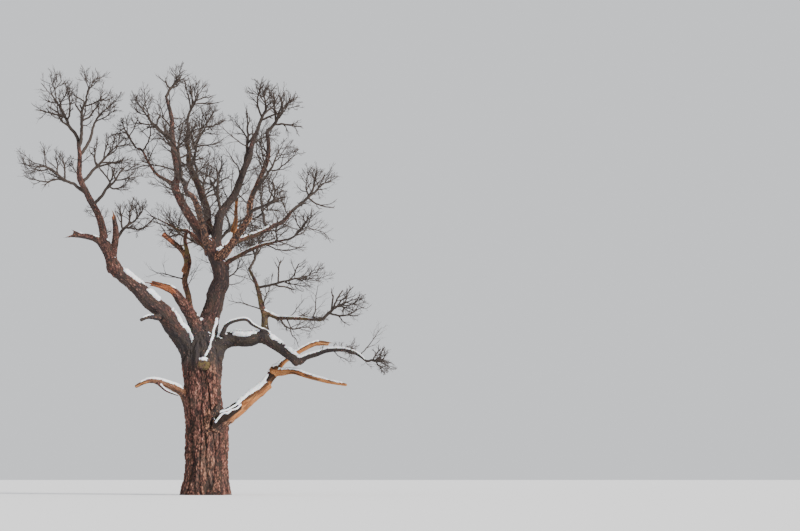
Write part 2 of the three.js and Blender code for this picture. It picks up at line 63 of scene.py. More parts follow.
# Limbs: name, the places its line passes through, its radius at the foot and at the tip.
LIMBS = [
    ("left_bough", [(-500, 0, 6000), (-1100, -100, 7060), (-1880, -600, 8170), (-2700, -1100, 9040),
                    (-3530, -1400, 9700), (-4200, -1600, 10320)], 500, 245),
    ("low_right_bough", [(60, 0, 6050), (360, 100, 6700), (900, 200, 7090), (1800, 100, 7150),
                         (2690, 0, 7210), (3400, -200, 6630), (4250, -400, 6020)], 430, 215),
    ("centre_bough", [(-220, 50, 5900), (-200, 100, 6890), (-40, 200, 8070), (270, 200, 9100),
                      (500, 100, 9930), (490, 0, 10670), (200, 0, 11420)], 500, 330),
    ("torn_bough", [(-320, 0, 6600), (-510, -100, 7480), (-870, -300, 8340), (-1300, -600, 9050),
                    (-1840, -800, 9490), (-2500, -1000, 9700)], 390, 70),
    ("rear_bough", [(-50, 200, 7500), (10, 1900, 9020), (110, 3400, 10450), (-150, 4600, 11760),
                    (-640, 5600, 13070), (-930, 6200, 14200)], 260, 95),
    ("dead_limb", [(-30, -200, 2650), (460, -600, 3120), (1040, -600, 3580), (1690, -300, 4140),
                   (2340, 0, 4800), (3100, 300, 5740)], 430, 190),
    ("left_stub", [(-790, 0, 4150), (-1110, -400, 4640), (-1450, -600, 4950), (-1930, -800, 5120),
                   (-2510, -900, 5180), (-3170, -1000, 4880)], 240, 75),
    ("left_snag", [(-4130, -1560, 10220), (-4210, -1400, 10990), (-4160, -1300, 11980),
                   (-4280, -1400, 12700)], 225, 90),
    ("left_leader", [(-4110, -1590, 10180), (-4380, -1720, 10990), (-4650, -1820, 11530),
                     (-4650, -1900, 12260), (-5110, -2000, 13160), (-5720, -2100, 14350),
                     (-5670, -2200, 15170), (-5830, -2200, 16060)], 225, 90),
    ("left_spur", [(-4380, -1700, 10900), (-4860, -1900, 11470), (-5280, -2300, 11590),
                   (-5860, -2620, 11650)], 170, 115),
    ("crooked_snag", [(-720, 0, 8050), (-1050, 600, 9050), (-1250, 900, 10080), (-1180, 1000, 10860),
                      (-1540, 1100, 11590), (-2390, 1300, 12300)], 150, 125),
    ("centre_left_limb", [(160, 0, 11200), (-240, -200, 11820), (-850, -700, 12730),
                          (-1470, -1100, 13980), (-1420, -1200, 14670), (-1670, -1300, 16300),
                          (-1700, -1200, 17460), (-2020, -1100, 18390)], 265, 75),
    ("centre_right_limb", [(180, 0, 11250), (280, 200, 12410), (560, 300, 13190), (1070, 300, 14050),
                           (1500, 100, 14970), (1780, 0, 15910), (2130, 200, 17060)], 250, 105),
    ("centre_rear_limb", [(150, 50, 11250), (-160, 900, 12520), (-470, 1700, 13720),
                          (-1340, 2900, 15920), (-1560, 3300, 16900), (-1670, 3600, 18340)], 235, 75),
    ("centre_front_limb", [(30, -50, 11350), (-150, -1000, 12120), (-350, -2400, 13050),
                           (-590, -3700, 13500), (-770, -4400, 13910)], 190, 80),
    ("right_pale_limb", [(400, -60, 10850), (1030, -700, 11470), (1590, -1300, 12070),
                         (2000, -1800, 12780), (2110, -2100, 13380), (2910, -2600, 15090),
                         (2860, -2800, 16390)], 200, 90),
    ("right_level_limb", [(300, 0, 11100), (760, 330, 11560), (1200, 700, 11960), (1930, 1000, 12200),
                          (2620, 1200, 12520), (3220, 1400, 12890), (3720, 1600, 13460)], 185, 85),
    ("thin_left_limb", [(60, 60, 11250), (-650, 400, 11960), (-1250, 600, 12330), (-1790, 700, 12490),
                        (-3190, 1100, 13230)], 135, 32),
    ("torn_spike", [(480, 50, 10650), (890, 600, 11470), (1030, 900, 12330), (1090, 1000, 14180)], 150, 30),
    ("right_low_limb", [(500, 0, 10500), (1270, -300, 10960), (1970, -800, 11220),
                        (2740, -1200, 11480), (3600, -1600, 11560)], 130, 55),
    ("west_side_limb", [(-1500, -1110, 14200), (-2090, -1000, 14470), (-2630, -900, 14960),
                        (-3040, -800, 15790), (-3430, -700, 16050)], 95, 50),
    ("low_right_upright", [(2690, 0, 7180), (2590, 400, 8090), (2370, 700, 8780), (2160, 900, 9650),
                           (1740, 1200, 10600)], 185, 70),
    ("low_right_side_limb", [(2500, 560, 8430), (3080, 200, 8210), (3800, -200, 8120),
                             (5330, -1000, 7950)], 125, 80),
    ("low_right_tip", [(4200, -390, 6060), (4760, -500, 6380), (5600, -700, 6550), (6660, -1000, 6590),
                       (7360, -1400, 6040)], 160, 60),
    ("dead_limb_upper_prong", [(3020, 270, 5640), (3540, 500, 6270), (4220, 700, 6750),
                               (4920, 800, 7020), (5570, 900, 7010)], 165, 105),
    ("dead_limb_lower_prong", [(3000, 270, 5650), (3710, 100, 5680), (4560, -100, 5440),
                               (5500, -300, 5240), (6470, -500, 5000)], 180, 80),
]
# Small broken limbs that only the bark mesh has, in the same form.
EXTRAS = [
    ("dead_branch", [(640, -150, 7300), (760, -330, 7690), (1310, -420, 7890), (1730, -420, 8090),
                     (1900, -400, 7800), (2250, -330, 7740), (2680, -200, 7500)], 105, 65),
    ("left_bough_stub", [(-2100, -1050, 8050), (-2500, -1500, 7980), (-2880, -1750, 7850)], 125, 80),
    ("stub_branch", [(-2150, -880, 5080), (-1900, -1050, 4830), (-1560, -1150, 4650), (-1150, -1180, 4470)],
     75, 40),
    ("torn_upper_splinter", [(-1700, -780, 9450), (-2200, -950, 9700), (-2750, -1050, 9790)], 95, 12),
    ("torn_middle_splinter", [(-1750, -760, 9430), (-2400, -1010, 9640), (-3080, -1120, 9690)], 85, 10),
    ("torn_lower_splinter", [(-1700, -740, 9400), (-2300, -1000, 9530), (-2650, -1100, 9520)], 90, 14),
    ("spur_splinter", [(-5700, -2560, 11640), (-6000, -2700, 11560), (-6300, -2800, 11470)], 70, 10),
    ("spur_upper_splinter", [(-5650, -2560, 11720), (-5860, -2640, 11800), (-5950, -2680, 11900)], 55, 12),
    ("snag_splinter", [(-4170, -1300, 12000), (-4300, -1380, 12700), (-4390, -1420, 13050)], 80, 10),
    ("spike_splinter", [(1000, 880, 12300), (1120, 940, 13300), (1210, 980, 14050)], 120, 25),
    ("dead_tip_splinter", [(5100, 820, 7020), (5500, 860, 7080), (5820, 880, 7040)], 80, 14),
    ("dead_limb_flap", [(1000, -480, 3470), (1650, -260, 3980), (2300, -60, 4550), (2880, 50, 5040)],
     215, 165),
    ("socket_splinter", [(380, -620, 3450), (610, -830, 3950), (770, -900, 4400)], 190, 25),
    ("socket_rim", [(120, -880, 2950), (200, -960, 3250), (330, -960, 3560)], 120, 70),
    ("fork_knot", [(-70, -500, 5850), (-75, -760, 5900), (-80, -960, 5930)], 240, 190),
    ("snag_upright", [(-1190, 1000, 10900), (-1250, 900, 11650), (-1150, 720, 12450)], 115, 95),
    ("snag_bulge", [(-1290, 960, 10400), (-1200, 1000, 10850), (-1260, 1040, 11300)], 145, 170),
]
LIMB_STEP = 680  # about how far apart the rings of a limb's line are
SWAY = 55  # how far they lie off the smooth line, with a share of their radius
SWAY_SHARE = 0.06
TAPER = 0.85
COLLAR = 0.3  # how much thicker a limb's foot is, and over how many of its radii
COLLAR_LENGTH = 1.6

# Masses of twigs: name, the limb it grows on and how far along it, the middle of its space and
# its reach from there in x, y and z.
MASSES = [
    ("twigs_left_top_west", "left_leader", 1, (-6720, -2400, 17750), (1230, 1500, 1950)),
    ("twigs_left_top_middle", "left_leader", 0.95, (-5050, -3300, 17700), (1170, 1500, 1820)),
    ("twigs_left_top_east", "left_leader", 0.9, (-4410, -1400, 17400), (1100, 1370, 1230)),
    ("twigs_left_middle_east", "left_leader", 0.68, (-4300, -1500, 15600), (1370, 1430, 1370)),
    ("twigs_left_low_east", "left_leader", 0.56, (-3700, -2600, 14200), (1550, 1300, 970)),
    ("twigs_left_snag", "left_snag", 0.45, (-3500, -800, 12700), (1550, 1300, 1040)),
    ("twigs_left_far_west", "left_leader", 0.62, (-7150, -2500, 14850), (1620, 1550, 1230)),
    ("twigs_centre_left_top", "centre_left_limb", 1, (-1850, -1100, 18650), (1150, 1300, 1500)),
    ("twigs_centre_left_west", "centre_left_limb", 0.72, (-2900, -1700, 17500), (1100, 1370, 1550)),
    ("twigs_west_side", "west_side_limb", 1, (-3900, -600, 16900), (1100, 1170, 1100)),
    ("twigs_centre_rear_top", "centre_rear_limb", 1, (-1350, 3800, 19100), (1300, 1620, 1550)),
    ("twigs_centre_rear_east", "centre_rear_limb", 0.6, (-500, 2500, 17500), (1170, 1500, 1950)),
    ("twigs_centre_rear_back", "centre_rear_limb", 0.5, (-1900, 5300, 16900), (1620, 1620, 1750)),
    ("twigs_centre_front", "centre_front_limb", 1, (-850, -5200, 15000), (1620, 1750, 1620)),
    ("twigs_centre_between", "centre_right_limb", 0.3, (-100, 900, 15000), (1170, 1230, 1500)),
    ("twigs_right_top_west", "centre_right_limb", 0.72, (1200, 700, 17300), (1100, 1300, 1620)),
    ("twigs_right_top", "centre_right_limb", 1, (2300, 100, 18100), (1170, 1430, 1550)),
    ("twigs_right_pale_top", "right_pale_limb", 1, (3420, -3000, 17050), (1100, 1500, 1500)),
    ("twigs_right_pale_east", "right_pale_limb", 0.66, (3600, -3150, 14900), (1300, 1500, 1300)),
    ("twigs_right_front", "right_pale_limb", 0.5, (2550, -4300, 13400), (1620, 1880, 1230)),
    ("twigs_right_level_top", "right_level_limb", 1, (4600, 1900, 14700), (1620, 1750, 1430)),
    ("twigs_right_level_rear", "right_level_limb", 0.66, (2500, 3400, 14100), (1500, 1880, 1370)),
    ("twigs_right_low", "right_low_limb", 1, (4600, -2200, 11900), (1430, 1620, 1040)),
    ("twigs_low_upright_top", "low_right_upright", 1, (1900, 2900, 12000), (1500, 1700, 1400)),
    ("twigs_low_upright_east", "low_right_upright", 0.75, (4000, 400, 10100), (1950, 1500, 970)),
    ("twigs_low_side", "low_right_side_limb", 1, (6300, -1400, 8400), (1500, 1500, 1040)),
    ("twigs_low_right_tip", "low_right_tip", 1, (7850, -1900, 5850), (1100, 1230, 900)),
    ("twigs_rear_top", "rear_bough", 1, (-1250, 6700, 15400), (1880, 1690, 1690)),
    ("twigs_rear_east", "rear_bough", 0.7, (1000, 5600, 13300), (1820, 1620, 1500)),
    ("twigs_rear_west", "rear_bough", 0.6, (-2000, 4900, 12900), (1750, 1550, 1370)),
]
# A limb's own side twigs have one wide space round its middle.
LIMB_SPACE = 9000
LIMB_MIDDLES = [limb[1][len(limb[1]) // 2] for limb in LIMBS]
CENTRE = np.array([mass[3] for mass in MASSES] + 2 * LIMB_MIDDLES, float)
REACH = np.array([mass[4] for mass in MASSES] + [(LIMB_SPACE,) * 3] * 2 * len(LIMBS), float)
# Limbs that no shoots grow on.
BARE_LIMBS = ("dead_limb", "dead_limb_upper_prong", "dead_limb_lower_prong", "torn_spike", "torn_bough",
              "left_stub", "left_snag", "left_spur", "left_bough", "low_right_bough", "centre_bough")

# Orders of twig: straight pieces, side twigs, length and thickness of a side twig as a share of its
# own, its lean away from it, how crooked, and, for the mesh, sides round it and steps per piece.
ORDERS = [
    dict(pieces=8, sides=12, share=0, thinning=0.75, lean=0.8, kink=0.44, round=8, steps=4),
    dict(pieces=5, sides=9, share=0.55, thinning=0.6, lean=0.8, kink=0.38, round=5, steps=4),
    dict(pieces=4, sides=6, share=0.6, thinning=0.55, lean=0.75, kink=0.3, round=4, steps=3),
    dict(pieces=4, sides=4, share=0.75, thinning=0.7, lean=0.7, kink=0.22, round=3, steps=1),
    dict(pieces=2, sides=0, share=0, thinning=0, lean=0, kink=0.2, round=3, steps=1),
]
THINNEST = [9, 9, 9, 6, 4]  # least radius of each order of twig at its foot
FINE_ORDER = 3  # from this order on, a twig is one of the fine ones
LEFT_SIDE = -2300  # twigs round a middle left of this are in the left pieces of the mesh
RIGHT_SIDE = 800
TIP_RADIUS = 2.5
TWIG_TIP = 9
TWIG_TAPER = 1.6  # over 1, a twig stays thick near its foot
FOOT_FLARE = 1.35  # how much thicker a side twig is where it grows out
TWIG_WAVE = 0.035  # how far a twig waves, as a share of its pieces
STEM_SHARE = 0.95  # a stem's radius as a share of its limb's
STEM_LEAST = 50
STEM_MOST = 80
# What grows on the live limbs themselves: short shoots and long branchlets. The order of twig that
# they are like, how far apart and from where along the limb, and their least and added length.
SHOOTS = [dict(order=2, step=280, start=0.3, least=500, more=1500, thin=7, thicken=0.014),
          dict(order=1, step=850, start=0.34, least=900, more=1500, thin=14, thicken=0.014)]
SHOOT_END = 0.98
SHOOT_SINK = 0.6  # where in its limb it starts, as a share of the limb's radius
SHOOT_SPREAD = 0.9
SHOOT_LEANS = (0.75, 0.45)
FIRST_SIDE = 0.22  # how far along a twig its first side twig grows
SIDE_SPREAD = 0.8
SIDE_LENGTH = 1.6  # length of a stem's side twigs, as a share of its mass's reach
SIDE_LEANS = (0.8, 0.4)  # least share of the lean and length, and what chance adds
SIDE_LENGTHS = (0.85, 0.3)
SIDE_TURN = 1.2
SHORTENING = 0.6  # how much shorter the side twigs get towards the tip
OUTWARD = 0.4  # how strongly twigs turn to the outside of their mass, stems to its middle, and all up
HOMING = 0.5
LIFT = 0.1
FAR_SIDE = 0.7  # how far past the middle of its mass a stem goes
SPILL = 1.18  # how far out in its mass a twig may reach at most, 1 being its edge
RAGGED = 0.5
TWIG_GAP = 18
CELL_MARGIN = 0.05
ASKEW = np.array([0.31, 0.17, 0.93])  # a way that no twig quite follows
GOLDEN_ANGLE = math.pi * (3 - math.sqrt(5))

# Seeds, and the number of the draw that settles each thing.
EXTRAS_SEED = 50
STEM_SEED = 100
SHOOT_SEEDS = (500, 600)
SPACE_DRAW, TURN_DRAW, LEAN_DRAW, LENGTH_DRAW = range(50, 54)
WAVE_DRAW, LIMIT_DRAW, SIDE_DRAW = 60, 70, 1000

# Mesh of the bark
VOXEL = 0.029
FINE_STEPS = 5  # rings for each ring of a limb's line
TRUNK_STEPS = 120
TRUNK_AROUND = 96
LIMB_AROUND = 28
NEARBY = 300  # with this share of its radius, how near a limb vertices are measured against it
NEARBY_SHARE = 1.6
CHUNK = 20000  # vertices measured at once
FAR = 1e6  # depth in a limb that a vertex isn't near
FILLET = 0.22
FILLET_MOST = 500

# Relief of the bark, in millimetres and shares of a limb's radius.
LIMB_SHIFT = 37  # keeps the patterns of two limbs apart, in the relief and in the colours
GRAIN_SHIFT = 3.7
PLATE_LEAST = 42
PLATE_SHARE = 0.055
PLATE_STRETCH = 2.8
PLATE_BEND = 0.45
BROAD_PLATES = (0.5, 0.5, 0.45)  # how many broad plates there are to a small one, each way
BROAD_DEPTH = 0.45  # share of the broad plates in the relief, and of the small ones
SMALL_DEPTH = 0.55
RELIEF_LEAST = 6
RELIEF_SHARE = 0.075
RELIEF_MOST = 62
RELIEF_LEVEL = 0.62  # the relief that lies on the limb's own surface
LUMPS = 0.045
KNOTS = 0.12
KNOT_SIZE = 420
FOLD_SIZE = (430, 430, 4200)  # long folds of the trunk and the stout boughs
FOLD_LEAST = 280  # radius from which a limb has them
FOLD_DEPTH = 0.075
FOLD_BEND = 90
CHANNEL = 0.16  # depth of the rotten groove along the dead limb
FIBRE_SIZE = (75, 75, 1100)
WOOD_LEAST = 5
WOOD_SHARE = 0.13  # depth of the splits in bare wood
GROUND = 60  # below this height no vertex moves up or down

# Bare and rotten wood. Along the dead limb: where its bark ends, how far its whole top is rotten, how
# fast that strip narrows from there, and from where its end is rotten too.
FOOT_BARK = (0.38, 0.27)
ROT_FULL = 0.4
ROT_NARROWS = 5
ROT_AGAIN = (0.74, 0.82)
DEAD_WOOD = {"dead_limb": 1, "dead_limb_upper_prong": 1, "dead_limb_lower_prong": 1,
             "torn_upper_splinter": 1, "torn_middle_splinter": 1, "torn_lower_splinter": 1,
             "snag_splinter": 0.6, "spike_splinter": 1, "dead_tip_splinter": 1, "dead_limb_flap": 1,
             "snag_bulge": 0.45}
BARKLESS = {"left_stub": 0.25}
# Where along it a torn limb's bare end starts, and how red bare wood is.
TORN = {"torn_bough": 0.7, "left_spur": 0.97, "left_snag": 0.93, "crooked_snag": 0.86, "left_stub": 0.8,
        "torn_spike": 0.22}
RED_WOOD = {"torn_bough": 0.9, "torn_upper_splinter": 0.6, "torn_middle_splinter": 1,
            "torn_lower_splinter": 0.7, "left_spur": 1, "crooked_snag": 1, "left_snag": 0.7,
            "spur_splinter": 1}
# Rotten hollow of the trunk under the dead limb: middle, size and depth.
HOLLOW = ((470, -900, 3180), (190, 500, 360), 190)

# Pale worn patches of the trunk: middle, size and how pale.
WORN = [((150, -950, 3250), (170, 500, 700), 1.0), ((-100, -950, 1300), (300, 500, 900), 0.4),
        ((560, -850, 3500), (250, 500, 500), 0.6), ((350, -900, 5400), (250, 500, 900), 0.35),
        ((250, -950, 700), (800, 700, 1500), 0.4)]

# How dark, pale and mossy each limb is, between which heights the fork gets painted shade, and the radii
# from which limbs get darker towards their thin ends.
THIN_ENDS = (180, 90)
FORK_PAINTED_SHADE = 1.1
FORK_LOW = (5200, 6500)
FORK_HIGH = (9000, 7800)
# How strong the painted shade on the undersides of the limbs is.
UNDERSIDE_PAINTED_SHADE = 0.8
DARK = {"trunk": 0.1, "left_bough": 0.75, "low_right_bough": 0.55, "centre_bough": 0.8, "rear_bough": 0.6,
        "centre_right_limb": 0.9, "centre_rear_limb": 0.75, "left_leader": 0.5, "left_snag": 0.35,
        "left_spur": 0.25, "centre_left_limb": 0.45, "centre_front_limb": 0.45, "torn_bough": 0.25,
        "low_right_tip": 0.6, "left_bough_stub": 2, "socket_splinter": 1, "socket_rim": 0.6,
        "dead_limb": 0.6, "fork_knot": 0}
PALE = {"snag_bulge": 0.6, "crooked_snag": 0.25, "right_pale_limb": 0.7, "centre_front_limb": 0.4,
        "left_stub": 0.2, "dead_limb": 0.5, "low_right_side_limb": 0.3, "west_side_limb": 0.2}
MOSS = {"low_right_upright": 0.8, "low_right_bough": 0.15, "low_right_side_limb": 0.5,
        "right_level_limb": 0.4, "thin_left_limb": 0.4, "centre_rear_limb": 0.3, "right_low_limb": 0.3,
        "crooked_snag": 0.4, "fork_knot": 0.9, "snag_upright": 0.9}


# Repeatable random numbers

WORD = np.uint64(0xFFFFFFFF)


def scramble(seed, draw):
    """A whole number from a seed and the number of the draw."""
    seed = np.asarray(seed, np.uint64)
    draw = np.asarray(draw, np.uint64)
    h = (seed ^ ((draw + np.uint64(1)) * np.uint64(0x9E3779B1) & WORD)) & WORD
    h = (h ^ (h >> np.uint64(16))) * np.uint64(0x85EBCA6B) & WORD
    h = (h ^ (h >> np.uint64(13))) * np.uint64(0xC2B2AE35) & WORD
    return (h ^ (h >> np.uint64(16))) & WORD


def fraction(seed, draw):
    return scramble(seed, draw).astype(float) / 2 ** 32


def chance(seed, draw, least, more):
    """A number from least up to more above it."""
    return least + more * fraction(seed, draw)


def jitter(seed, draw):
    return np.stack([2 * fraction(seed, 3 * draw + k) - 1 for k in range(3)], -1)


def unit(vectors):
    return vectors / np.linalg.norm(vectors, axis=-1, keepdims=True)


# Lines of limbs

def smooth_line(points, shares):
    """Points at shares of a smooth curve through points, along the axis before the last."""
    before = 2 * points[..., :1, :] - points[..., 1:2, :]
    after = 2 * points[..., -1:, :] - points[..., -2:-1, :]
    padded = np.concatenate([before, points, after], axis=-2)
    place = np.asarray(shares, float) * (points.shape[-2] - 1)
    i = np.minimum(place.astype(int), points.shape[-2] - 2)
    w = (place - i)[:, None]
    p0, p1, p2, p3 = (padded[..., i + k, :] for k in range(4))
    t0 = 0.5 * (p2 - p0)
    t1 = 0.5 * (p3 - p1)
    return p1 + w * (t0 + w * ((3 * (p2 - p1) - 2 * t0 - t1) + w * (2 * (p1 - p2) + t0 + t1)))


def directions(points):
    """The way a line goes at each of its points."""
    ahead = np.concatenate([points[..., 1:, :], points[..., -1:, :]], axis=-2)
    behind = np.concatenate([points[..., :1, :], points[..., :-1, :]], axis=-2)
    return unit(ahead - behind)


class Axis:
    """A limb's line: its rings' middles and radii, and directions square to it."""

    def __init__(self, name, points, radii, level=False):
        self.name = name
        self.points = points
        self.radii = radii
        self.forward = np.tile(UP, (len(points), 1)) if level else directions(points)
        step = np.abs(points[1] - points[0])
        across = np.eye(3)[1 if step[0] > step[1] and not level else 0]
        self.across = np.empty_like(points)
        for i, forward in enumerate(self.forward):
            across = unit(across - forward * across.dot(forward))
            self.across[i] = across
        self.aside = np.cross(self.across, self.forward)
        self.run = np.concatenate([[0], np.cumsum(np.linalg.norm(np.diff(points, axis=0), axis=1))])

    def at(self, share):
        """The point and radius at a share of its rings, and the ring before it."""
        place = share * (len(self.points) - 1)
        i = min(int(place), len(self.points) - 2)
        part = place - i
        return (self.points[i] + (self.points[i + 1] - self.points[i]) * part,
                self.radii[i] + (self.radii[i + 1] - self.radii[i]) * part, i)

    def finer(self, steps):
        """The same line with more rings, rounded between them."""
        both = np.hstack([self.points, self.radii[:, None]])
        line = smooth_line(both, np.linspace(0, 1, steps + 1))
        return Axis(self.name, line[:, :3], line[:, 3], level=self.name == "trunk")


def trunk_axis():
    height, middle, radius = np.array(TRUNK, float).T
    return Axis("trunk", np.stack([middle, 0 * height, height], 1), radius, level=True)


def limb_axis(name, route, foot, tip, seed):
    points = np.array(route, float)
    run = np.linalg.norm(np.diff(points, axis=0), axis=1).sum()
    steps = math.ceil(run / LIMB_STEP)
    shares = np.arange(steps + 1) / steps
    collar = 1 + COLLAR * np.exp(-run * shares / (COLLAR_LENGTH * foot))
    radii = collar * (tip + (foot - tip) * (1 - shares) ** TAPER)
    inside = ((shares > 0) & (shares < 1)).astype(float)
    shift = jitter(np.full(steps + 1, seed), np.arange(steps + 1))
    line = smooth_line(points, shares) + shift * (inside * (SWAY + SWAY_SHARE * radii))[:, None]
    return Axis(name, line, radii)


AXES = {"trunk": trunk_axis()}
for limbs, first_seed in ((LIMBS, 1), (EXTRAS, EXTRAS_SEED)):
    for limb_seed, limb in enumerate(limbs, first_seed):
        AXES[limb[0]] = limb_axis(*limb, limb_seed)

AXIS_NAMES = list(AXES)
NODES = ["trunk"] + [limb[0] for limb in LIMBS]
FINE_AXES = {name: axis.finer(FINE_STEPS * (len(axis.points) - 1)) for name, axis in AXES.items()}


# Growth of the twigs

def stretch_gaps(a, b, c, d):
    """Shortest distance between each stretch a-b and each stretch c-d."""
    u = (b - a)[:, None]
    v = (d - c)[None]
    w = a[:, None] - c[None]
    uu, uv, vv = (u * u).sum(-1), (u * v).sum(-1), (v * v).sum(-1)
    uw, vw = (u * w).sum(-1), (v * w).sum(-1)
    wide = uu * vv - uv * uv
    s = np.where(wide > 1e-9, np.clip((uv * vw - vv * uw) / np.maximum(wide, 1e-9), 0, 1), 0)
    t = np.clip((uv * s + vw) / vv, 0, 1)
    s = np.clip((uv * t - uw) / uu, 0, 1)
    return np.linalg.norm(w + u * s[..., None] - v * t[..., None], axis=-1)


def holds(mass, points, limit):
    """Whether points lie in their own mass's space and nearer its middle than any other's."""
    depth = np.linalg.norm((points[:, None] - CENTRE) / REACH, axis=-1)
    rows = np.arange(len(points))
    own = depth[rows, mass]
    depth[rows, mass] = np.inf
    return (own <= limit) & (own + CELL_MARGIN < depth[:, :len(MASSES)].min(1))


def own_name(m, order):
    """The limb or stem that a twig of space m needn't keep clear of."""
    if m < len(MASSES):
        return MASSES[m][0 if order else 1]
    kind, index = divmod(m - len(MASSES), len(LIMBS))
    return LIMBS[index][0] if order == SHOOTS[kind]["order"] else ""


class Obstacles:
    """The stretches of every limb, and later of every stem, that twigs keep clear of."""

    def __init__(self):
        self.start = np.zeros((0, 3))
        self.end = np.zeros((0, 3))
        self.radius = np.zeros(0)
        self.owner = np.zeros(0, str)

    def add(self, owner, points, radii):
        self.start = np.vstack([self.start, points[:-1]])
        self.end = np.vstack([self.end, points[1:]])
        self.radius = np.append(self.radius, np.maximum(radii[:-1], radii[1:]))
        self.owner = np.append(self.owner, [owner] * (len(points) - 1))

    def touch(self, mass, a, b, radius, order):
        """Whether each stretch a-b comes too near one. A stem may touch the limb it grows on."""
        touch = np.zeros(len(a), bool)
        for m in np.unique(mass):
            mine = np.flatnonzero(mass == m)
            other = self.owner != own_name(m, order)
            if order:
                to_ends = np.minimum(np.linalg.norm(self.start - CENTRE[m], axis=1),
                                     np.linalg.norm(self.end - CENTRE[m], axis=1))
                other &= to_ends < REACH[m].max() + self.radius + LIMB_STEP
            if other.any():
                gaps = stretch_gaps(a[mine], b[mine], self.start[other], self.end[other])
                touch[mine] = (gaps < radius[mine, None] + self.radius[other] + TWIG_GAP).any(1)
        return touch


def grow(twigs, order, obstacles):
    """Each twig's crooked line: points, radii and the number of pieces that it reached."""
    pieces = ORDERS[order]["pieces"]
    line = np.repeat(twigs["start"][:, None], pieces + 1, 1)
    reached = np.zeros(len(line), int)
    direction = twigs["heading"]
    growing = np.ones(len(line), bool)
    limit = SPILL - RAGGED * fraction(twigs["seed"], LIMIT_DRAW)
    for i in range(1, pieces + 1):
        last = line[:, i - 1]
        direction = direction + jitter(twigs["seed"], i) * ORDERS[order]["kink"] + UP * LIFT
        if order == 0:
            direction = direction + HOMING * unit(twigs["goal"] - last)
        direction = unit(direction)
        ahead = last + direction * (twigs["length"] / pieces)[:, None]
        if order:
            growing &= holds(twigs["mass"], ahead, limit) & holds(twigs["mass"], (last + ahead) / 2, limit)
        rows = np.flatnonzero(growing)
        growing[rows] = ~obstacles.touch(twigs["mass"][rows], last[rows], ahead[rows],
                                         twigs["radius"][rows], order)
        reached[growing] = i
        line[:, i] = np.where(growing[:, None], ahead, last)
    fine = order >= FINE_ORDER
    share = (np.arange(pieces + 1) / pieces) ** (1 if fine else TWIG_TAPER)
    tip = TIP_RADIUS if fine else TWIG_TIP
    radii = twigs["radius"][:, None] + (tip - twigs["radius"][:, None]) * share
    return line, radii, reached


def joined(tables):
    return {key: np.concatenate([table[key] for table in tables]) for key in tables[0]}


def columns(rows):
    return {key: np.array([row[key] for row in rows]) for key in rows[0]}


def side_twigs(twigs, line, radii, reached, order):
    """The side twigs of grown twigs, spiralling round each."""
    rule = ORDERS[order]
    span = SIDE_LENGTH * REACH[twigs["mass"]].mean(1) if order == 0 else rule["share"] * twigs["length"]
    made = []
    for i in range(rule["sides"]):
        own = scramble(twigs["seed"], SIDE_DRAW + i)
        spaced = i + SIDE_SPREAD * fraction(own, SPACE_DRAW)
        along = FIRST_SIDE + (1 - FIRST_SIDE) * spaced / rule["sides"]
        alive = np.flatnonzero(along * rule["pieces"] < reached)
        own, along, mass = own[alive], along[alive], twigs["mass"][alive]
        place = along * rule["pieces"]
        k = np.minimum(place.astype(int), reached[alive] - 1)
        part = (place - k)[:, None]
        low, high = line[alive, k], line[alive, k + 1]
        point = low + (high - low) * part
        radius = radii[alive, k] + (radii[alive, k + 1] - radii[alive, k]) * part[:, 0]
        heading = unit(high - low)
        across = unit(np.cross(ASKEW, heading))
        aside = np.cross(across, heading)
        turn = (GOLDEN_ANGLE * i + SIDE_TURN * fraction(own, TURN_DRAW))[:, None]
        tilt = (rule["lean"] * chance(own, LEAN_DRAW, *SIDE_LEANS))[:, None]
        outward = (point - CENTRE[mass]) / REACH[mass]
        direction = unit(heading * np.cos(tilt) + across * np.sin(tilt) * np.cos(turn)
                         + aside * np.sin(tilt) * np.sin(turn) + outward * OUTWARD)
        length = span[alive] * (1 - SHORTENING * along) * chance(own, LENGTH_DRAW, *SIDE_LENGTHS)
        made.append(dict(mass=mass, start=point, heading=direction, length=length, seed=own,
                         radius=np.maximum(radius * rule["thinning"], THINNEST[order + 1])))
    return joined(made)


def stems():
    """The stem of each mass, from its limb to the far side of its space."""
    rows = []
    for m, (_, limb, along, _, _) in enumerate(MASSES):
        point, radius, _ = AXES[limb].at(along)
        way = CENTRE[m] - point
        past = FAR_SIDE / np.linalg.norm(unit(way) / REACH[m])
        stem = STEM_SHARE * min(AXES[limb].radii[-1], radius)
        rows.append(dict(mass=m, start=point, heading=unit(way), goal=CENTRE[m] + unit(way) * past,
                         length=np.linalg.norm(way) + past, seed=STEM_SEED + m,
                         radius=np.clip(stem, STEM_LEAST, STEM_MOST)))
    return columns(rows)


def shoots(kind):
    """Side twigs of the live limbs, spiralling round each of them."""
    rule = SHOOTS[kind]
    rows = []
    for index, (name, _, _, _) in enumerate(LIMBS):
        if name in BARE_LIMBS:
            continue
        axis = FINE_AXES[name]
        count = int(axis.run[-1] * (1 - rule["start"]) / rule["step"])
        for i in range(count):
            own = scramble(SHOOT_SEEDS[kind] + index, i)
            place = i + SHOOT_SPREAD * fraction(own, SPACE_DRAW)
            point, radius, k = axis.at(rule["start"] + (SHOOT_END - rule["start"]) * place / count)
            turn = GOLDEN_ANGLE * i + SIDE_TURN * fraction(own, TURN_DRAW)
            tilt = chance(own, LEAN_DRAW, *SHOOT_LEANS)
            side = axis.across[k] * math.cos(turn) + axis.aside[k] * math.sin(turn)
            length = rule["least"] + rule["more"] * fraction(own, LENGTH_DRAW) ** 2
            rows.append(dict(mass=len(MASSES) + kind * len(LIMBS) + index, seed=own, length=length,
                             radius=rule["thin"] + rule["thicken"] * length,
                             start=point + side * SHOOT_SINK * radius,
                             heading=unit(axis.forward[k] * math.cos(tilt) + side * math.sin(tilt))))
    return columns(rows)


# Meshes from arrays

